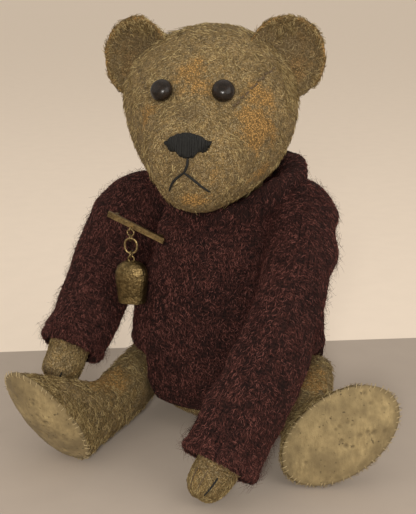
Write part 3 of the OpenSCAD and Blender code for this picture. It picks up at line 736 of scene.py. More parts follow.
def head_masks(p):
    bare = 0.75 * blob(p, (1, -34, 15), (26, 20, 17))
    bare = np.maximum(bare, 1.25 * blob(p, (25, -32, -6), (17, 20, 17)))
    bare = np.maximum(bare, 0.95 * blob(p, (27, -26, 6), (13, 17, 12)))
    bare = np.maximum(bare, 1.0 * blob(p, (3, -48, -32), (13, 12, 8)))
    bare = np.maximum(bare, 0.9 * blob(p, (27, -25, -25), (12, 13, 10)))
    bare = np.maximum(bare, 0.7 * blob(p, (-20, -38, 0), (12, 12, 12)))
    bare = np.maximum(bare, 0.55 * blob(p, (10, -50, -22), (9, 9, 10)))
    bare = np.maximum(bare, 0.35 * blob(p, (0, 20, 26), (26, 22, 22)))
    bare = bare + 0.25 * near_line(p, DART, 2.5)
    # the second mask darkens round the nose and mouth, round the eyes, before the ear roots, on the right
    # cheek, over the crown and along the darts
    soil_and_shade = 0.75 * blob(p, (0, -47, 2), (9, 9, 8))
    soil_and_shade = np.maximum(soil_and_shade, 0.7 * blob(p, (0, -54, -20), (15, 12, 14)))
    for s in (-1, 1):
        soil_and_shade = np.maximum(soil_and_shade, 0.6 * blob(p, EYE_AT * (s, 1, 1), (8, 9, 7.5)))
        soil_and_shade = np.maximum(soil_and_shade, 0.6 * blob(p, (s * 32, -10, 22), (12, 8, 10)))
    soil_and_shade = np.maximum(soil_and_shade, 0.45 * blob(p, (-30, -24, -12), (14, 22, 22)))
    soil_and_shade = np.maximum(soil_and_shade, 0.3 * blob(p, (0, -2, 36), (38, 26, 12)))
    soil_and_shade = np.maximum(soil_and_shade, 0.5 * near_line(p, DART, 1.0))
    soil_and_shade = np.maximum(soil_and_shade, 0.35 * near_line(p, DART_MIRROR, 1.0))
    return {"bare": bare, "soil_and_shade": soil_and_shade}


def head_flow(world):
    """Which way the pile lies: sideways on the crown, down on the cheeks, back from the nose."""
    p = to_head(world)
    crown = ramp(p[:, 2], 14, 26)[:, None]
    back = ramp(p[:, 1], 4, 20)[:, None]
    side = np.sign(p[:, :1])
    one = np.ones_like(side)
    down = np.concatenate([0.35 * side, 0.3 * one, -one], 1)
    comb = np.concatenate([-0.9 * one, 0.15 * one, -0.25 * one], 1)
    nape = np.concatenate([0.1 * side, 0.2 * one, -one], 1)
    flow = down * (1 - crown) + comb * crown
    flow = flow * (1 - back) + nape * back
    wander = swirl(p, 7, 21)
    wild = swirl(p, 1.7, 24)
    return (flow + 1.0 * wander + 0.8 * wild) @ HEAD_TURN.T


def head_pile(verts, faces, masks, seed, count, name, long):
    rng = np.random.default_rng(seed)
    n = normals_of(verts, faces)
    p = to_head(verts)
    clear = blob(p, (0, -54.5, -9), (15, 10, 9))
    for s in (-1, 1):
        clear = np.maximum(clear, 1.2 * blob(p, EYE_AT * (s, 1, 1), 8))
    tuft = np.clip(0.35 + 0.9 * noise(p, 8, 30) + 0.5 * noise(p, 3.4, 31), 0.04, 1.2)
    furry = (1.02 - np.clip(1.25 * masks["bare"], 0, 1)) ** 1.5
    weight = furry * np.clip(1 - 1.6 * clear, 0, 1) * (0.1 + tuft)
    weight *= np.where(verts[:, 2] < 112, 0, 1) * (1 - 0.45 * blob(p, (0, -50, -12), (20, 14, 22)))
    weight *= 1 - 0.9 * near_line(p, DART, 1.6)
    if long > 4:
        ends = blob(p, (-33, -8, 10), (10, 14, 16)) + blob(p, (33, -8, 6), (10, 16, 22))
        ends = ends + blob(p, (-20, -8, 34), (14, 16, 8))
        side = blob(p, (-22, -42, -16), (10, 12, 14)) + 0.5 * blob(p, (20, -42, -12), (6, 10, 10))
        weight = weight * (0.12 + 2.2 * ends + 0.9 * side)
    root, normal = scatter(verts, n, faces, weight, count, rng)
    q = to_head(root)
    muzzle = blob(q, (0, -52, -14), (26, 22, 24))
    length = long * (0.55 + 0.6 * rng.random(count)) * (1 - 0.45 * muzzle) * (0.8 + 0.35 * noise(q, 5, 32))
    lift = np.radians(rng.uniform(3, 24, count))
    curl = rng.uniform(0.08, 0.3, count)
    tint = rng.choice(3, count, p=(0.36, 0.44, 0.2))
    flow = head_flow(root)
    return strands(name, root, normal, flow, length, lift, curl, HAIR_RADIUS, rng, HAIRS, split=tint)


def head_group():
    verts, faces, masks = head_surface()
    stub, stub_faces = neck_stub()
    both = joined([(verts, faces), (stub, stub_faces)])
    pad = {k: np.concatenate([v, np.zeros(len(stub))]) for k, v in masks.items()}
    head = make("head", both[0], both[1], MOHAIR, pad)
    belong(head, "head", "mohair", "head_cover", "head_stuffing", fill=0.95)
    for i, (count, long) in enumerate(((6000, 1.9), (3600, 3.1), (2600, 5.0))):
        pile = head_pile(verts, faces, masks, 40 + i, count, "head_pile_" + str(i + 1), long)
        belong(pile, "head", "mohair")
    return verts, faces


def neck_stub():
    a = circle(64)
    ring = np.stack([15.2 * np.cos(a), 2 + 15.2 * np.sin(a), 0 * a], -1)
    grid = np.stack([ring + (0, 0, z) for z in (109.5, 112, 118, 124)])
    verts, faces = capped(grid)
    return verts, outward(verts, faces)


# ---- nose, mouth and seams --------------------------------------------------------

NOSE_RINGS = [(-44, -5, 9.5, 5), (-50, -7.6, 10.4, 5.6), (-54, -8.8, 8.8, 5.2), (-55.6, -9.8, 5, 3.2)]


def nose_point(s, x, upper):
    """A place on the nose at ring place s and side offset x, on its upper or lower half."""
    ring = catmull(NOSE_RINGS, [s])[0]
    share = 0.0
    for _ in range(4):
        wide = ring[2] * (1 + 0.25 * share * (1 if upper else -1))
        share = math.sqrt(max(0.0, 1 - min(1.0, abs(x) / wide) ** 2.3))
    return np.array([x, ring[0], ring[1] + ring[3] * share * (1 if upper else -1)])


def nose_thread(x, depth, rng):
    """One satin stitch, from the arched upper edge over the front to the lower edge and its lobe."""
    reach = 3.0
    while reach > 1.0 and abs(x) > catmull(NOSE_RINGS, [reach])[0][2] * 0.98:
        reach -= 0.04
    upper = [nose_point(s, x, True) for s in np.linspace(0.5, reach, 9)]
    lower = [nose_point(s, x, False) for s in np.linspace(reach, 0.9, 9)]
    line = np.array(upper + lower)
    line = catmull(line, np.linspace(0, len(line) - 1, 90))
    sag = 1.7 * (x / 10) ** 2
    high = -10.6 - 0.6 * sag + 6.6 * math.sqrt(max(0.0, 1 - (x / 10.9) ** 2))
    low = -11.0 - sag - 2.7 * math.exp(-((x / 3.6) ** 4)) + 0.25 * rng.uniform(-1, 1)
    line = line[(line[:, 2] < high) & (line[:, 2] > low)]
    if len(line) < 4:
        return None
    line = line + unit(line - (0, -46, -8)) * (0.3 - depth) + (0.7, 0, -0.2)
    line[:, 0] += 0.1 * np.sin(np.linspace(0, 5, len(line)) + 6 * rng.random())
    return catmull(line, np.linspace(0, len(line) - 1, 26))


def nose_group():
    rng = np.random.default_rng(7)
    parts = []
    for depth, thick in ((0, 0.44), (0.7, 0.6), (1.6, 0.75)):
        for x0 in np.arange(-10.2, 10.3, 0.66):
            line = nose_thread(x0, depth, rng)
            if line is None:
                continue
            taper = np.clip(np.sin(np.linspace(0.05, 0.95, len(line)) * math.pi) * 3, 0.5, 1)
            parts.append(tube(line, thick + 0.04 * rng.random(), 7, taper))
    v, f = joined(parts)
    nose = make("nose", from_head(v), f, BLACK_THREAD)
    belong(nose, "head", "thread", "nose_stitching")


def thread_piece(name, lines, radius, material, body, slot, nodes, place=lambda p: p):
    parts = []
    for line in lines:
        smooth = catmull(line, np.linspace(0, len(line) - 1, max(10, 6 * len(line))))
        ends = np.sin(np.clip(np.linspace(0.06, 0.94, len(smooth)), 0, 1) * math.pi) ** 0.25
        parts.append(tube(place(smooth), radius, 8, ends))
    v, f = joined(parts)
    piece = make(name, v, f, material)
    belong(piece, body, slot, *nodes)
    return piece


def face_seams(verts, faces):
    n = normals_of(verts, faces)

    def on_skin(offset):
        return lambda p: snap(from_head(p), verts, n, offset)

    mouth = [
        [(0.9, -55.2, -13.2), (0.6, -54.6, -17.2), (-0.9, -54, -20.8)],
        [(-0.9, -54, -20.5), (2.2, -53.6, -22.8), (4.4, -53, -24.8), (8.6, -50.6, -28.6)],
        [(-0.9, -54, -20.5), (-3.4, -53.4, -22.4), (-5.6, -52.4, -24.6), (-8, -50.6, -28.8)],
    ]
    thread_piece("mouth", mouth, 0.55, BLACK_THREAD, "head", "thread", ("mouth_stitching",), on_skin(0.45))
    dashes = []
    path = catmull(DART, np.linspace(0, 3, 34))
    for i in range(0, 32, 3):
        across = 0.5 * (-1) ** i
        dashes.append([path[i] + (0, 0, across), path[i + 2] + (0, 0, across * 0.4)])
    thread_piece(
        "dart_seam", dashes, 0.42, SEAM_THREAD, "head", "seam_thread", ("dart_stitching",), on_skin(0.6)
    )
    other = []
    path = catmull(DART_MIRROR, np.linspace(0, 3, 34))
    for i in range(1, 32, 4):
        other.append([path[i], path[i + 1]])
    thread_piece("dart_seam_right", other, 0.24, SEAM_THREAD, "head", "seam_thread", (), on_skin(0.1))


def eye_group(s):
    """Boot button sewn down into the pile, with its wire shank."""
    profile = [
        (0.05, 9.4), (1.9, 9.25), (3.4, 8.5), (4.3, 7.4), (4.75, 6.1),
        (4.6, 5.0), (3.9, 4.3), (2.2, 4.05), (0.6, 4.0),
    ]
    shank = [(0.6, 2.0), (0.6, -2.0), (0.6, -6.0), (0.05, -6.0)]
    rows = np.concatenate([finer(profile, 40), np.array(shank)])
    a = circle(64)
    ring = np.stack([np.cos(a), np.sin(a)], -1)
    grid = np.concatenate([rows[:, :1, None] * ring, rows[:, 1:, None] * np.ones((1, 64, 1))], 2)
    verts, faces = capped(grid)
    tilt, turn = math.radians(60), math.radians(12 * s)
    lean = np.array([[1, 0, 0], [0, math.cos(tilt), -math.sin(tilt)], [0, math.sin(tilt), math.cos(tilt)]])
    swing = np.array([[math.cos(turn), -math.sin(turn), 0], [math.sin(turn), math.cos(turn), 0], [0, 0, 1]])
    placed = verts @ (swing @ lean).T + EYE_AT * (s, 1, 1)
    eye = make(f"eye_{SIDE_NAME[s]}_button", from_head(placed), outward(placed, faces), BUTTON)
    belong(eye, "head", "button", f"eye_{SIDE_NAME[s]}")


# ---- ears ------------------------------------------------------------------------

EAR_BOWL = [
    (0.5, 8), (7, 7.4), (13, 5.6), (17.5, 2.6), (19.8, -1), (19.6, -2.6), (18, -2.2),
    (15, 0.8), (10, 3), (5, 4), (0.5, 4.3),
]
EAR_SIZE = 17.8 / 20


def ear_place(s):
    return np.array([s * 33.2 + (0.8 if s == RIGHT else 0.0), -4.0, 21.0])


def ear_group(s):
    f = unit((s * 0.36, -0.93, 0.06))
    u = unit(np.cross(f, (0, 0, -1)))
    w = np.cross(f, u)
    rows, cols = 90, 150
    bowl = finer(EAR_BOWL, rows)
    a = circle(cols)
    grid = -f * bowl[:, 1][:, None, None]
    grid = grid + bowl[:, 0][:, None, None] * EAR_SIZE * (u * np.cos(a)[:, None] + w * np.sin(a)[:, None])
    verts, faces = capped(grid)
    faces = outward(verts, faces)
    n = normals_of(verts, faces)
    far = np.linalg.norm(np.cross(verts, f), axis=1)
    lift = 0.5 * noise(verts, 8, 50 + s) + 0.22 * noise(verts, 3, 52) + 0.1 * noise(verts, 1.5, 53)
    lift -= 0.5 * np.exp(-((far - 15.6) / 0.7) ** 2)
    verts = verts + n * lift[:, None]
    curl = blob(verts, u * -4 * s + w * -16, 9)
    verts = verts + f * (1.4 * curl)[:, None]
    front = (verts @ f) > -5.2
    inner = ramp(far, 15.5, 10) * front
    bare = 0.75 * blob(verts, -w * 4 + u * 5 * s, (9, 9, 9)) * front + 0.3 * ramp(far, 14, 17)
    edge = np.exp(-((far - 14.6) / 1.1) ** 2) * front
    # painted shade: the inside of the ear's cup, a band inside its rim and its whole front are darkened
    masks = {"bare": bare + 0.3, "soil_and_shade": 0.5 * inner + 0.45 * edge + 0.25 * front}
    world = from_head(verts + ear_place(s))
    normal = normals_of(world, faces)
    ear = make(f"ear_{SIDE_NAME[s]}_cloth", world, faces, MOHAIR, masks)
    belong(ear, "head", "mohair", f"ear_{SIDE_NAME[s]}", fill=0.5)
    rng = np.random.default_rng(60 + s)
    rim = 0.2 + 1.3 * ramp(far, 14.5, 17.4) + 1.6 * blob(verts, w * 14, (12, 9, 9))
    count = 2600
    root, rn = scatter(world, normal, faces, rim * (0.5 + 0.5 * noise(verts, 3, 54)), count, rng)
    q = to_head(root) - ear_place(s)
    flow = (-q * 0.05 + swirl(q, 4, 55)) @ HEAD_TURN.T
    length = rng.uniform(1.2, 3.4, count)
    lift = np.radians(rng.uniform(10, 45, count))
    tint = rng.choice(3, count, p=(0.3, 0.4, 0.3))
    name = f"ear_{SIDE_NAME[s]}_pile"
    pile = strands(name, root, rn, flow, length, lift, 0.3, HAIR_RADIUS, rng, HAIRS, split=tint)
    belong(pile, "head", "mohair")
    rim_line = -f * 0.2 + 15.9 * (u * np.cos(a[::3])[:, None] + w * np.sin(a[::3])[:, None])
    ring = from_head(rim_line + ear_place(s))
    stitches = []
    for i in range(0, len(ring) - 1, 2):
        stitches.append(snap(ring[i:i + 2], world, normal, 0.12))
    thread_piece(f"ear_{SIDE_NAME[s]}_stitches", stitches, 0.2, SEAM_THREAD, "head", "seam_thread", ())


# ---- torso -----------------------------------------------------------------------


def standing(rows, z, cols):
    """Points around the body at heights z, an array of rows by columns."""
    rows = finer(rows, 160)
    a = circle(cols)
    keys = rows[:, 0]
    wide, deep, mid, square = (np.interp(z, keys, rows[:, k]) for k in (1, 2, 3, 4))
    c, s = np.cos(a)[None, :], np.sin(a)[None, :]
    power = 2 / square
    x = wide * np.sign(c) * np.abs(c) ** power
    y = mid + deep * np.sign(s) * np.abs(s) ** power
    return np.stack([x, y, z * np.ones_like(x)], -1)


def room(p, x_limit, y, z, r, forward):
    """Presses points in a round room beside a joint back to x_limit."""
    d = np.hypot(p[..., 1] - y, p[..., 2] - z)
    if forward:
        d = np.where(p[..., 1] < y, np.abs(p[..., 2] - z), d)
    inside = 1 - ramp(d, r, r + 2.5)
    over = np.maximum(np.abs(p[..., 0]) - x_limit, 0) * inside
    out = p.copy()
    out[..., 0] = p[..., 0] - np.sign(p[..., 0]) * over
    return out


def torso_group():
    z = np.linspace(0, 107.6, 150)[:, None] * np.ones((1, 200))
    grid = standing(TORSO_ROWS, z, 200)
    grid = room(grid, 31.6, HIP[0], HIP[1], 18.8, True)
    grid = room(grid, 24.2, SHOULDER[0], SHOULDER[1], 15, False)
    grid[..., :2] *= (1 - 0.1 * ramp(z, 88, 100))[..., None]
    verts, faces = capped(grid)
    faces = outward(verts, faces)
    n = normals_of(verts, faces)
    free = ramp(verts[:, 2], 1, 6) * ramp(verts[:, 2], 106, 100)
    lift = (0.4 * noise(verts, 12, 71) + 0.2 * noise(verts, 4, 72) - 0.4) * free
    lift -= 0.5 * np.exp(-((verts[:, 0]) / 0.9) ** 2) * (verts[:, 1] > 0)
    verts = verts + n * np.minimum(lift, 0.3)[:, None]
    bare = 0.5 * blob(verts, (0, 30, 6), (26, 20, 14))
    # the second mask darkens the torso towards the bottom
    torso = make("torso", verts, faces, MOHAIR, {"bare": bare, "soil_and_shade": 0.3 * ramp(verts[:, 2], 12, 0)})
    belong(torso, "torso", "mohair", "torso_cover", "torso_stuffing", fill=0.95)
    rng = np.random.default_rng(73)
    low = ramp(verts[:, 2], 34, 22) * ramp(verts[:, 2], 1.2, 3)
    blocked = (verts[:, 1] < 12) * (np.abs(verts[:, 0]) > 30)
    count = 5000
    root, rn = scatter(verts, n, faces, low * (1 - blocked) * (0.6 + 0.4 * noise(verts, 4, 74)), count, rng)
    flow = np.array([0, 0, -1.0]) + 0.9 * swirl(root, 4, 75)
    length = rng.uniform(1.5, 3.2, count)
    lift = np.radians(rng.uniform(8, 30, count))
    tint = rng.choice(3, count, p=(0.3, 0.4, 0.3))
    pile = strands("torso_pile", root, rn, flow, length, lift, 0.25, HAIR_RADIUS, rng, HAIRS, split=tint)
    belong(pile, "torso", "mohair")


# ---- sweater ---------------------------------------------------------------------

STITCH = 2.3
ROW = 1.75


def knit_relief(col, row):
    """Height and yarn share of plain knitting at a column and row, counted in stitches."""
    across = np.abs(np.mod(col, 1) - 0.5) * 2
    legs = np.sqrt(np.clip(1 - (2 * across - 1) ** 2, 0, 1))
    along = 0.5 + 0.5 * np.cos(2 * math.pi * (row - 0.45 * across))
    height = legs * (0.45 + 0.55 * along)
    return height, np.clip(legs * (0.35 + 0.65 * along), 0, 1)


def hem_turn(steps):
    """Inset and rise of the cloth's edge where it rolls under, from the hidden end to the fall."""
    knots = [(3.0, 4.0), (3.0, 1.0), (1.6, -0.7), (0.1, 0.2), (-0.7, 2.0), (-0.4, 4.0), (0, 6.0)]
    return catmull(knots, np.linspace(0, len(knots) - 1, steps))


def hem_height(cols):
    """The sweater's lower edge: low at the front and back, lying over the thighs at the sides."""
    ring = standing(SWEATER_ROWS, np.full((1, cols), 20.0), cols)[0]
    x, y = np.abs(ring[:, 0]), ring[:, 1]
    over = ramp(x, 27, 34) * ramp(y, 17, 8)
    front = ramp(ring[:, 1], -8, -24)
    return 7.0 + 6.5 * front * (1 - over) + 27 * over + 0.6 * noise(ring, 13, 81)


def sweater_surface(rows, cols):
    turn = 26
    edge = hem_height(cols)
    inset, rise = hem_turn(turn).T
    share = np.linspace(0, 1, rows)[:, None]
    top = 108.9
    body = (edge + 6) + (top - edge - 6) * share[1:]
    z = np.concatenate([edge + rise[:, None], body])
    grid = standing(SWEATER_ROWS, np.clip(z, 5, 109), cols)
    grid[..., 2] = z
    flat = unit(grid[..., :2])
    push = np.zeros(z.shape)
    push[:turn] = -inset[:, None]
    grid[..., :2] += flat * push[..., None]
    return grid, z


def soft_folds(grid, z):
    """How far folds, bunching and rope-like columns lift the knitting."""
    p = grid * (1, 1, 0.22)
    folds = 0.9 * noise(p, 8.5, 82) * ramp(z, 98, 84) * ramp(z, 20, 34)
    bunch = 0.8 * noise(grid * (0.25, 0.25, 1), 7.0, 83) * ramp(z, 70, 82)
    broad = 0.8 * noise(grid, 22, 84)
    chest = 3.6 * blob(grid, (-30, -34, 96), (17, 16, 12))
    ropes = 0.75 * noise(grid * (1, 1, 0.3), 4.2, 87) * ramp(z, 104, 96) * ramp(z, 8, 16)
    return folds + bunch + broad + chest + ropes


def split_halves(grid, cols, first, count):
    take = (np.arange(first, first + count + 1)) % cols
    return grid[:, take]


def open_sheet(name, grid, material, masks):
    rows, cols = grid.shape[:2]
    verts = grid.reshape(-1, 3)
    faces = [ring_faces(rows, cols, closed=False)]
    centre = verts.mean(0)
    tri = triangles(faces)
    a, b, c = verts[tri[:, 0]], verts[tri[:, 1]], verts[tri[:, 2]]
    if (np.cross(b - a, c - a) * ((a + b + c) / 3 - centre)).sum() < 0:
        faces = [f[:, ::-1] for f in faces]
    return make(name, verts, faces, material, masks)


def grid_normals(grid):
    """Normals of a grid that closes round its columns, looking away from its rings' centres."""
    along = np.gradient(grid, axis=0)
    around = np.roll(grid, -1, axis=1) - np.roll(grid, 1, axis=1)
    n = unit(np.cross(around, along))
    out = grid - grid.mean(1, keepdims=True)
    return n * np.sign((n * out).sum() + 1e-9)


def sweater_group():
    rows, cols = 214, 590
    grid, z = sweater_surface(rows, cols)
    smooth = grid_normals(grid)
    turned = np.zeros(z.shape)
    turned[26:] = 1
    turned[14:26] = np.linspace(0, 1, 12)[:, None]
    grid = grid + smooth * (soft_folds(grid, z) * turned)[..., None]
    grid = room(grid, 31.0, HIP[0], HIP[1], 16.0, True)
    grid = room(grid, 28.5, SHOULDER[0], SHOULDER[1], 13.0, False)
    smooth = grid_normals(grid)
    col = np.arange(cols)[None, :] * (118 / cols) * np.ones_like(z)
    wobble = 0.35 * noise(grid, 9, 85)
    relief, yarn = knit_relief(col + 0.25 * wobble, (z - 5) / ROW + wobble)
    fine = noise(grid, 0.9, 86)
    grid = grid + smooth * (0.62 * relief + 0.16 * fine - 0.3)[..., None]
    yarn = np.clip(yarn + 0.2 * fine, 0, 1)
    half = cols // 2
    for name, first in (("sweater_back", 0), ("sweater_front", half)):
        part = split_halves(grid, cols, first, half)
        share = split_halves(yarn[..., None], cols, first, half)
        piece = open_sheet(name, part, KNIT, {"yarn": share.reshape(-1)})
        belong(piece, "torso", "knit")
    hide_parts("sweater_body")
    seen = turned * ramp(z, 107, 104)
    verts = grid.reshape(-1, 3)
    n = smooth.reshape(-1, 3)
    counts = (12000, 12000, 12000, 3200)
    tufts(verts, n, [ring_faces(*grid.shape[:2])], seen.reshape(-1), "sweater", 90, counts, on_torso)


def on_torso(piece):
    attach(piece, "torso")


def tufts(verts, normals, faces, weight, name, seed, counts, place):
    """Curly yarn ends over the knitting, and a halo of long fine hairs."""
    for k, count in enumerate(counts[:-1]):
        rng = np.random.default_rng(seed + k)
        patchy = weight * (0.55 + 0.45 * noise(verts, 3.2, seed))
        root, n = scatter(verts, normals, faces, patchy, count, rng)
        slant = np.cross(n, (0, 0, 1.0)) * rng.choice([-0.55, 0.55], (count, 1))
        flow = np.array([0, 0, -1.0]) + slant + 0.75 * swirl(root, 2.4, seed + 1)
        length = rng.uniform(1.1, 2.4, count)
        lift = np.radians(rng.uniform(0, 18, count))
        tint = rng.choice(3, count, p=(0.3, 0.44, 0.26))
        part = name + "_flecks_" + str(k + 1)
        base = root - n * 0.05
        piece = strands(part, base, n, flow, length, lift, 0.18, 0.145, rng, FLECKS, split=tint)
        place(piece)
    rng = np.random.default_rng(seed + 9)
    count = counts[-1]
    root, n = scatter(verts, normals, faces, weight, count, rng)
    flow = rng.normal(size=(count, 3)) + (0, 0, -0.4)
    length = rng.uniform(2.5, 9.5, count) * (0.45 + 0.55 * rng.random(count))
    lift = np.radians(rng.uniform(12, 55, count))
    tint = rng.choice(2, count)
    piece = strands(name + "_halo", root, n, flow, length, lift, 0.22, 0.055, rng, FUZZ, 4, split=tint)
    place(piece)


def under_head(p):
    """Height of the head's underside over the points, or a great height beside it."""
    rows = finer(HEAD_ROWS, 200)[::-1]
    x = p[..., 0] - HEAD_AT[0]
    y = p[..., 1] - HEAD_AT[1]
    wide, top, bottom = (np.interp(y, rows[:, 0], rows[:, k]) for k in (1, 2, 3))
    share = np.clip(1 - (x / wide) ** 2, 0, 1)
    low = HEAD_AT[2] + (top + bottom) / 2 - (top - bottom) / 2 * np.sqrt(share)
    outside = (share <= 0) | (y > rows[-1, 0]) | (y < rows[0, 0])
    return np.where(outside, 1000.0, np.maximum(low, 109.5))


def collar_group():
    rows, cols = 44, 460
    a = circle(cols)[None, :]
    b = circle(rows)[:, None]
    spine = np.stack([31 * np.cos(a), 31 * np.sin(a), 0 * a], -1)
    swell = 1 + 0.08 * noise(spine, 11, 101)
    side = ramp(np.sin(a), -0.98, -0.72)
    rise = 6.6 * side * (1 - 0.5 * ramp(np.sin(a), 0.3, 0.95))
    inner = np.where(np.cos(b) < 0, 1 + 1.2 * side, 1.0)
    radius = 32.4 + 3.9 * inner * swell * np.cos(b) + 1.4 * side * np.sin(b)
    x = radius * np.cos(a) * 0.985
    y = radius * np.sin(a)
    z = (6.4 + 2.6 * side) * swell * np.sin(b) + rise + 0 * a
    tilt = math.radians(9)
    y2 = y * math.cos(tilt) - z * math.sin(tilt)
    z2 = y * math.sin(tilt) + z * math.cos(tilt)
    grid = np.stack([x, y2 + 3.5, z2 + 106.8], -1)
    grid[..., 2] = np.minimum(grid[..., 2], under_head(grid) - 0.9)
    middle = grid.mean(0, keepdims=True)
    smooth = unit(grid - middle)
    relief, yarn = knit_relief(a * (88 / (2 * math.pi)) + 0 * b, b * (30 / (2 * math.pi) / 1.4) + 0 * a)
    grid = grid + smooth * (0.55 * relief + 0.2 * noise(grid, 1.0, 102) - 0.3)[..., None]
    verts = grid.reshape(-1, 3)
    wrap = np.concatenate([np.arange(rows), [0]])
    index = (wrap[:, None] * cols + np.arange(cols)[None, :])
    low, high = index[:-1], index[1:]
    quads = np.stack([low, np.roll(low, -1, 1), np.roll(high, -1, 1), high], -1).reshape(-1, 4)
    n = normals_of(verts, [quads])
    if (n * smooth.reshape(-1, 3)).sum() < 0:
        quads = quads[:, ::-1]
        n = -n
    collar = make("collar", verts, [quads], KNIT, {"yarn": np.clip(yarn, 0, 1).reshape(-1)})
    belong(collar, "torso", "knit", "sweater_collar", fill=0.4)
    tufts(verts, n, [quads], np.ones(len(verts)), "collar", 105, (6500, 900), on_torso)


SLEEVE_PATH = {
    RIGHT: [
        (-28, 4, 95), (-42.5, 0, 99), (-51.5, -7, 85), (-59, -17, 66.5), (-62, -27, 53), (-65, -37, 41.5),
    ],
    LEFT: [
        (25, 3, 93), (34, -3, 98), (37.5, -22, 90), (39.4, -44, 75.6), (36, -63, 58), (29, -80, 39),
        (21.5, -94, 21.3),
    ],
}
SLEEVE_ROWS = {
    RIGHT: [
        (0, 15, 15), (0.5, 17, 16.5), (1, 17.4, 17), (2, 18.2, 17.4), (3, 16, 16.6), (4, 15, 15.4),
        (5, 14.6, 15),
    ],
    LEFT: [
        (0, 15, 15), (0.5, 16, 16.5), (1, 16, 16.8), (2, 15.6, 16.4), (3, 14.6, 16), (4, 15.2, 16.2),
        (5, 15.8, 16.4), (6, 16, 16.8),
    ],
}
ARMHOLE = {RIGHT: ((-33, -2, 92), (-46, -2, 92)), LEFT: ((33, 3, 100), (37, -18, 84))}


def sleeve_group(s):
    side = SIDE_NAME[s]
    start, end = ARMHOLE[s]
    start = tuple(v * MM for v in start)
    end = tuple(v * MM for v in end)
    rows, cols, turn = 250, 216, 20
    main = limb_grid(SLEEVE_PATH[s], SLEEVE_ROWS[s], (s, 0, 0), (0, 0, 0), rows, cols)
    head = heading(SLEEVE_PATH[s], np.array([len(SLEEVE_PATH[s]) - 1.0]))[0]
    centre = main[-1].mean(0)
    spoke = unit(main[-1] - centre)
    cuff = []
    for inset, rise in hem_turn(turn)[::-1][4:]:
        cuff.append(main[-1] - spoke * inset * 0.9 - head * (rise - 5.0))
    grid = np.concatenate([main, np.stack(cuff)])
    count = len(grid)
    smooth = grid_normals(grid)
    place = np.linspace(0, 1, count)[:, None] * np.ones((1, cols))
    bend = 1.5 * noise(grid * (0.35, 0.35, 1), 7.5, 110 + s) * ramp(place, 0.1, 0.3)
    lump = 1.0 * noise(grid, 19, 112 + s)
    shown = ramp(place, 1.0 - 16 / count, 1.0 - 30 / count)
    furry = ramp(place, 1.0 - 5 / count, 1.0 - 10 / count)
    grid = grid + smooth * ((bend + lump) * (0.25 + 0.75 * shown))[..., None]
    smooth = grid_normals(grid)
    length = np.linalg.norm(np.diff(grid, axis=0), axis=2).mean(1)
    down = np.concatenate([[0], np.cumsum(length)])[:, None] * np.ones((1, cols))
    wobble = 0.35 * noise(grid, 8, 113)
    relief, yarn = knit_relief(np.arange(cols)[None, :] * (43 / cols) + 0.3 * wobble, down / ROW + wobble)
    fine = noise(grid, 0.9, 114)
    grid = grid + smooth * (0.62 * relief + 0.16 * fine - 0.3)[..., None]
    yarn = np.clip(yarn + 0.2 * fine, 0, 1)
    verts = grid.reshape(-1, 3)
    faces = [ring_faces(count, cols)]
    n = smooth.reshape(-1, 3)
    tri = triangles(faces)[:4000:50]
    face_n = np.cross(verts[tri[:, 1]] - verts[tri[:, 0]], verts[tri[:, 2]] - verts[tri[:, 0]])
    if (face_n * n[tri[:, 0]]).sum() < 0:
        faces = [f[:, ::-1] for f in faces]
    sleeve = make(f"sleeve_{side}", verts, faces, KNIT, {"yarn": yarn.reshape(-1)})
    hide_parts(f"sweater_sleeve_{side}")
    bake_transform(sleeve)
    if s == RIGHT:
        hidden = ramp(np.abs(verts[:, 0]), 27, 33)
    else:
        hidden = ramp(np.abs(verts[:, 0]) - 0.4 * verts[:, 1], 30, 36)
    weight = hidden * furry.reshape(-1) * (1 + 1.2 * ramp(place.reshape(-1), 0.86, 0.95))

    def cross(piece):
        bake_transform(piece)

    tufts(verts, n, faces, weight, f"sleeve_{side}", 120 + 10 * s, (10500, 10500, 3600), cross)


# ---- arms and paws -----------------------------------------------------------------


def limb_piece(name, grid, masks_of, body, nodes, seeds):
    verts, faces = capped(grid)
    faces = outward(verts, faces)
    n = normals_of(verts, faces)
    lift = 0.45 * noise(verts, 9, seeds) + 0.22 * noise(verts, 3.5, seeds + 1) - 0.3
    verts = verts + n * lift[:, None]
    n = normals_of(verts, faces)
    piece = make(name, verts, faces, MOHAIR, masks_of(verts))
    belong(piece, body, "mohair", *nodes, fill=0.9)
    return verts, faces, n


def patch(path, rows, out, t_mid, t_half, a_mid, a_half, offset):
    """A rounded patch on a limb between two offsets, as a closed form."""
    rings, cols = 16, 72
    phi = circle(cols)
    layers = []
    for side, rhos in ((1, np.linspace(0.05, 1, rings)), (0, np.linspace(1, 0.05, rings))):
        for rho in rhos:
            t = t_mid + t_half * rho * np.cos(phi)
            a = a_mid + a_half * rho * np.sin(phi)
            high = offset * (1 - rho**8) ** 0.5 + 0.12 if side else 0.08
            layers.append(limb_points(path, rows, out, t, a, high))
    verts, faces = capped(np.stack(layers))
    return verts, outward(verts, faces)


def limb_points(path, rows, out, t, a, grow):
    rows = finer(np.array([r[:3] for r in rows], float), 200)
    wide = np.interp(t, rows[:, 0], rows[:, 1]) + grow
    deep = np.interp(t, rows[:, 0], rows[:, 2]) + grow
    n = heading(path, t)
    out = np.asarray(out, float)
    u = unit(out - (n @ out)[:, None] * n)
    v = np.cross(n, u)
    return catmull(path, t) + u * (wide * np.cos(a))[:, None] + v * (deep * np.sin(a))[:, None]


PALM = {RIGHT: math.radians(-90), LEFT: math.radians(90)}


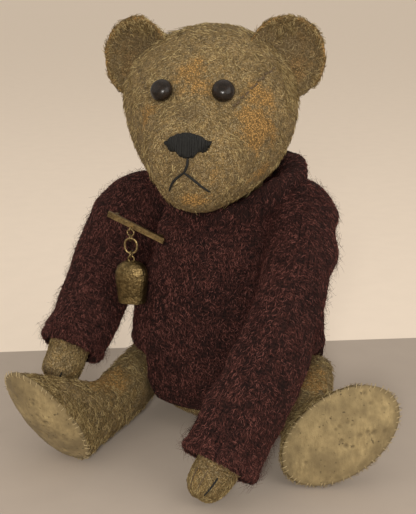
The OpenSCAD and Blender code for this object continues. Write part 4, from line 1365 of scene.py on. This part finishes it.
def arm_group(s):
    side = SIDE_NAME[s]
    body = f"arm_{side}"
    path, out = ARM_PATH[s], (s, 0, 0)
    inside = [(t, a - 1.6 * (1 <= t < 2.8), b - 1.8 * (1 <= t < 2.8)) for t, a, b in ARM_ROWS]
    grid = limb_grid(path, inside, out, (0, 0, 0), 150, 96)

    def masks(p):
        tip = blob(p, path[-1], (20, 20, 20))
        return {"bare": 0.55 * tip + 0.3 * noise(p, 8, 140), "soil_and_shade": 0.35 * tip + 0.2 * noise(p, 5, 141)}

    nodes = (f"arm_cover_{side}", f"arm_stuffing_{side}")
    verts, faces, n = limb_piece(f"arm_{side}_cloth", grid, masks, body, nodes, 142)
    claws = []
    for k in (-32, 0, 32):
        a = np.radians(k + (-90 if s == RIGHT else 90))
        t = np.linspace(3.72, 3.93, 6)
        claws.append(limb_points(path, ARM_ROWS, out, t, np.full(6, a), 0.42))

    def on_paw(p):
        return snap(p, verts, n, 0.3)

    node = (f"claw_stitches_{side}",)
    thread_piece(f"claw_{side}", claws[:1], 0.4, BLACK_THREAD, body, "thread", node, on_paw)
    thread_piece(f"claws_{side}_worn", claws[1:], 0.2, SEAM_THREAD, body, "thread", (), on_paw)
    low = limb_points(path, ARM_ROWS, out, np.array([3.6]), np.array([PALM[s]]), 0)[0]
    high = limb_points(path, ARM_ROWS, out, np.array([3.6]), np.array([PALM[s] + math.pi]), 0)[0]
    palm = PALM[s] if low[2] < high[2] else PALM[s] + math.pi
    pv, pf = patch(path, ARM_ROWS, out, 3.64, 0.3, palm, math.radians(62), 0.8)
    pn = normals_of(pv, pf)
    pv = pv + pn * (0.1 * noise(pv, 3, 144))[:, None]
    pad = make(f"paw_{side}_felt", pv, pf, FELT, {"soil_and_shade": 0.5 + 0.4 * noise(pv, 5, 145)})
    belong(pad, body, "felt", f"paw_pad_{side}")
    stitches = []
    for phi in circle(34):
        t = 3.64 + 0.3 * np.cos(phi) * np.array([0.9, 1.08])
        a = palm + math.radians(62) * np.sin(phi + 0.05) * np.array([0.9, 1.08])
        stitches.append(limb_points(path, ARM_ROWS, out, np.minimum(t, 3.97), a, 0.75))
    thread_piece(f"paw_{side}_stitches", stitches, 0.24, TAN_THREAD, body, "seam_thread", ())
    rng = np.random.default_rng(146 + s)
    near = blob(verts, path[-1], (34, 34, 34))
    from_palm = ramp(np.linalg.norm(verts - low, axis=1), 6, 12)
    count = 4200
    root, rn = scatter(verts, n, faces, near * from_palm, count, rng)
    flow = heading(path, np.array([3.5]))[0] + 0.9 * swirl(root, 4, 147)
    tint = rng.choice(3, count, p=(0.2, 0.4, 0.4))
    pile = strands(f"arm_{side}_pile", root, rn, flow, rng.uniform(0.9, 2.2, count),
                   np.radians(rng.uniform(5, 28, count)), 0.25, 0.12, rng, HAIRS, split=tint)
    belong(pile, body, "mohair")


# ---- legs and soles ------------------------------------------------------------------


def leg_group(s):
    side = SIDE_NAME[s]
    body = f"leg_{side}"
    n_sole = SOLE_DIR[s]
    up = unit(TOE_DIR[s] - (TOE_DIR[s] @ n_sole) * n_sole)
    across = np.cross(n_sole, up)
    centre = np.array(LEG_PATH[s][-1], float)
    grid = limb_grid(LEG_PATH[s], LEG_ROWS, TOE_DIR[s], n_sole, 190, 150)
    a = circle(150)
    end = []
    for shift, shrink in ((0.5, 0.35), (0.8, 1.1), (0.6, 2.0), (0.0, 2.5)):
        ring = up * (27.2 - shrink) * np.cos(a)[:, None] + across * (17 - shrink) * np.sin(a)[:, None]
        end.append(centre + n_sole * shift + ring)
    grid = np.concatenate([grid, np.stack(end)])

    def masks(p):
        thigh = blob(p, (-49, -50, 28) if s == RIGHT else (46, -24, 32), (19, 30, 18))
        toe = blob(p, centre + up * 22, (18, 18, 18))
        bare = 1.2 * thigh + 0.3 * toe + 0.25 * noise(p, 9, 150)
        return {"bare": bare, "soil_and_shade": 0.1 + 0.25 * noise(p, 6, 151) - 0.3 * thigh}

    nodes = (f"leg_cover_{side}", f"leg_stuffing_{side}")
    verts, faces, n = limb_piece(f"leg_{side}_cloth", grid, masks, body, nodes, 152)
    sole_group(s, centre, n_sole, up, across, verts, n)
    rng = np.random.default_rng(160 + s)
    local = verts - centre
    rim = np.exp(-(((local @ n_sole) + 3.5) / 3.6) ** 2)
    thigh = blob(verts, (-49, -50, 28) if s == RIGHT else (46, -24, 32), (17, 26, 16))
    tuft = np.clip(0.5 + 0.7 * noise(verts, 4.5, 153), 0.05, 1)
    beyond = np.where((local @ n_sole) > -0.6, 0, 1) * np.where(np.abs(verts[:, 0]) < 33.5, 0, 1)
    weight = (0.35 + 1.9 * rim) * (1 - 0.95 * thigh) * tuft * beyond * np.where(verts[:, 2] < 1.5, 0, 1)
    for k, (count, long) in enumerate(((7000, 2.4), (4200, 3.8))):
        root, rn = scatter(verts, n, faces, weight, count, rng)
        forward = unit(centre - np.array(LEG_PATH[s][2], float))
        flow = 0.7 * forward + (0, 0, -0.5) + 1.0 * swirl(root, 4, 154)
        flow = flow + 0.8 * rng.normal(size=(count, 3)) * 0.5
        tint = rng.choice(3, count, p=(0.28, 0.42, 0.3))
        length = long * rng.uniform(0.5, 1.1, count)
        lift = np.radians(rng.uniform(8, 38, count))
        name = "leg_" + side + "_pile_" + str(k + 1)
        pile = strands(name, root, rn, flow, length, lift, 0.25, HAIR_RADIUS, rng, HAIRS, split=tint)
        belong(pile, body, "mohair")


def sole_group(s, centre, n_sole, up, across, verts, n):
    side = SIDE_NAME[s]
    body = f"leg_{side}"
    rings, cols = 46, 150
    a = circle(cols)
    grid = []
    for rho in np.linspace(0.02, 1, rings):
        flat = up * SOLE_LONG * rho * np.cos(a)[:, None] + across * SOLE_WIDE * rho * np.sin(a)[:, None]
        dome = (6.0 if s == RIGHT else 4.6) * (1 - rho**2.6) + 0.75
        grid.append(centre + flat + n_sole * dome)
    grid.append(grid[-1] - n_sole * 1.0 - unit(grid[-1] - centre) * 0.2)
    grid.append(centre + (grid[-1] - centre) * 0.9 - n_sole * 1.2)
    pv, pf = capped(np.stack(grid))
    pf = outward(pv, pf)
    pn = normals_of(pv, pf)
    lift = 0.4 * noise(pv, 9, 170 + s) + 0.16 * noise(pv, 3, 171)
    rng = np.random.default_rng(172 + s)
    # the second mask darkens the felt in noise, in the pits and towards the rim
    soil_and_shade = 0.28 + 0.35 * noise(pv, 8, 173)
    for _ in range(16):
        spot = centre + up * rng.uniform(-21, 21) + across * rng.uniform(-11, 11) + n_sole * 3
        hole = np.exp(-(np.linalg.norm(np.cross(pv - spot, n_sole), axis=1) / rng.uniform(0.6, 1.3)) ** 2)
        lift -= 0.7 * hole
        soil_and_shade = np.maximum(soil_and_shade, 1.1 * hole)
    edge = np.hypot(((pv - centre) @ up) / SOLE_LONG, ((pv - centre) @ across) / SOLE_WIDE)
    soil_and_shade = np.maximum(soil_and_shade, 0.7 * ramp(edge, 0.86, 1.0))
    pv = pv + pn * (lift * ramp(edge, 1.0, 0.9))[:, None]
    sole = make(f"foot_{side}_felt", pv, pf, FELT, {"soil_and_shade": soil_and_shade})
    belong(sole, body, "felt", f"foot_pad_{side}", fill=0.7)
    stitches = []
    for k in range(46):
        phi = 2 * math.pi * (k + 0.7 * rng.random()) / 46
        points = []
        for rho, high in ((0.93, 1.15), (0.985, 1.35), (1.045, 0.2)):
            a = phi + 0.04 * rho
            flat = up * SOLE_LONG * rho * math.cos(a) + across * SOLE_WIDE * rho * math.sin(a)
            points.append(centre + flat + n_sole * high)
        stitches.append(points)
    thread_piece(f"foot_{side}_stitches", stitches, 0.18, TAN_THREAD, body, "seam_thread", ())


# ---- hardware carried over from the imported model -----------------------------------

KEPT = [
    (BRASS, "brooch_bar"), (STEM, "brooch_pin_stem"), (BRASS, "chain_links_upper"), (BRASS, "chain_ring"),
    (BRASS, "chain_link_lower"), (BELL_BRASS, "bell"), (BRASS, "bell_clapper"),
    (BOARD, "neck_disc_body"), (BOARD, "neck_disc_head"), (STEEL, "neck_washer_head"), (STEEL, "neck_pin"),
    (STEEL, "joint_washers_body"),
]
for SIDE in ("right", "left"):
    for PLACE in ("shoulder", "hip"):
        LIMB = "arm" if PLACE == "shoulder" else "leg"
        KEPT.append((BOARD, PLACE + "_disc_body_" + SIDE))
        KEPT.append((BOARD, PLACE + "_disc_" + LIMB + "_" + SIDE))
        KEPT.append((STEEL, PLACE + "_washer_" + SIDE))
        KEPT.append((STEEL, PLACE + "_pin_" + SIDE))


def finish_hardware():
    for material, node in KEPT:
        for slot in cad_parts[node].material_slots:
            slot.material = material


# ---- camera, light and stage ---------------------------------------------------------


def aim(thing, target):
    direction = Vector(target) - thing.location
    thing.rotation_euler = direction.to_track_quat("-Z", "Y").to_euler()


def stage_and_light():
    target = np.array([-14.9, 16.8, 70.2]) * MM
    az, el = math.radians(15), math.radians(16)
    back = np.array([math.sin(az) * math.cos(el), -math.cos(az) * math.cos(el), math.sin(el)])
    data = bpy.data.cameras.new("camera")
    data.sensor_fit = "VERTICAL"
    data.sensor_height = 36
    data.lens = 36 * 1000 / 514
    data.clip_start = 0.01
    data.clip_end = 40
    camera = bpy.data.objects.new("camera", data)
    bpy.context.scene.collection.objects.link(camera)
    camera.location = target + back * 0.5
    aim(camera, target)
    bpy.context.scene.camera = camera
    for name, place, size, power, colour in (
        ("key", (0.15, -0.88, 0.36), 0.12, 5.4, (1, 0.96, 0.9)),
        ("fill_left", (-0.9, -0.5, 0.7), 0.9, 1.2, (1, 0.95, 0.9)),
        ("fill_right", (0.9, -0.6, 0.5), 0.9, 4.8, (1, 0.96, 0.92)),
        ("top", (0.0, 0.1, 1.1), 1.0, 1.0, (1, 0.96, 0.92)),
    ):
        lamp = bpy.data.lights.new(name, "AREA")
        lamp.energy = power
        lamp.size = size
        lamp.color = colour
        holder = bpy.data.objects.new(name, lamp)
        holder.location = place
        bpy.context.scene.collection.objects.link(holder)
        aim(holder, (0, 0, 0.08))
    world = bpy.data.worlds.new("world")
    world.use_nodes = True
    world.node_tree.nodes["Background"].inputs["Color"].default_value = (1, 0.92, 0.83, 1)
    world.node_tree.nodes["Background"].inputs["Strength"].default_value = 0.58
    bpy.context.scene.world = world
    bpy.context.scene.view_settings.view_transform = "Standard"
    near = [(-8000, -8000, -0.1), (8000, -8000, -0.1), (8000, 3069, -0.1), (-8000, -2895, -0.1)]
    far = [(-8000, -2895, -0.1), (8000, 3069, -0.1), (8000, 12000, -0.1), (-8000, 12000, -0.1)]
    for name, colour, glow, points in (
        ("floor", (0.44, 0.375, 0.315), 0.0, near),
        ("backdrop", (0.74, 0.64, 0.53), 0.24, far),
    ):
        material, tree, shader = new_material(name + "_paint", colour, 0.9)
        grain = add_noise(tree, 60, 3.0, 0.5)
        pale = mix(tree, remap(tree, grain, 0.3, 0.7), tuple(0.97 * c for c in colour), colour)
        tree.links.new(pale, shader.inputs["Base Color"])
        shader.inputs["Emission Color"].default_value = (0.66, 0.56, 0.45, 1)
        shader.inputs["Emission Strength"].default_value = glow
        shader.inputs["Specular IOR Level"].default_value = 0.1
        bump(tree, shader, add_noise(tree, 500, 2.0, 0.5), 0.05, 0.0002)
        ground = make(name, np.array(points, float), [np.array([[0, 1, 2, 3]])], material, smooth=False)


# ---- everything ------------------------------------------------------------------------

stage_and_light()
HEAD_VERTS, HEAD_FACES = head_group()
nose_group()
face_seams(HEAD_VERTS, HEAD_FACES)
torso_group()
for SIGN in (RIGHT, LEFT):
    eye_group(SIGN)
    ear_group(SIGN)
    arm_group(SIGN)
    leg_group(SIGN)
    sleeve_group(SIGN)
sweater_group()
collar_group()
finish_hardware()

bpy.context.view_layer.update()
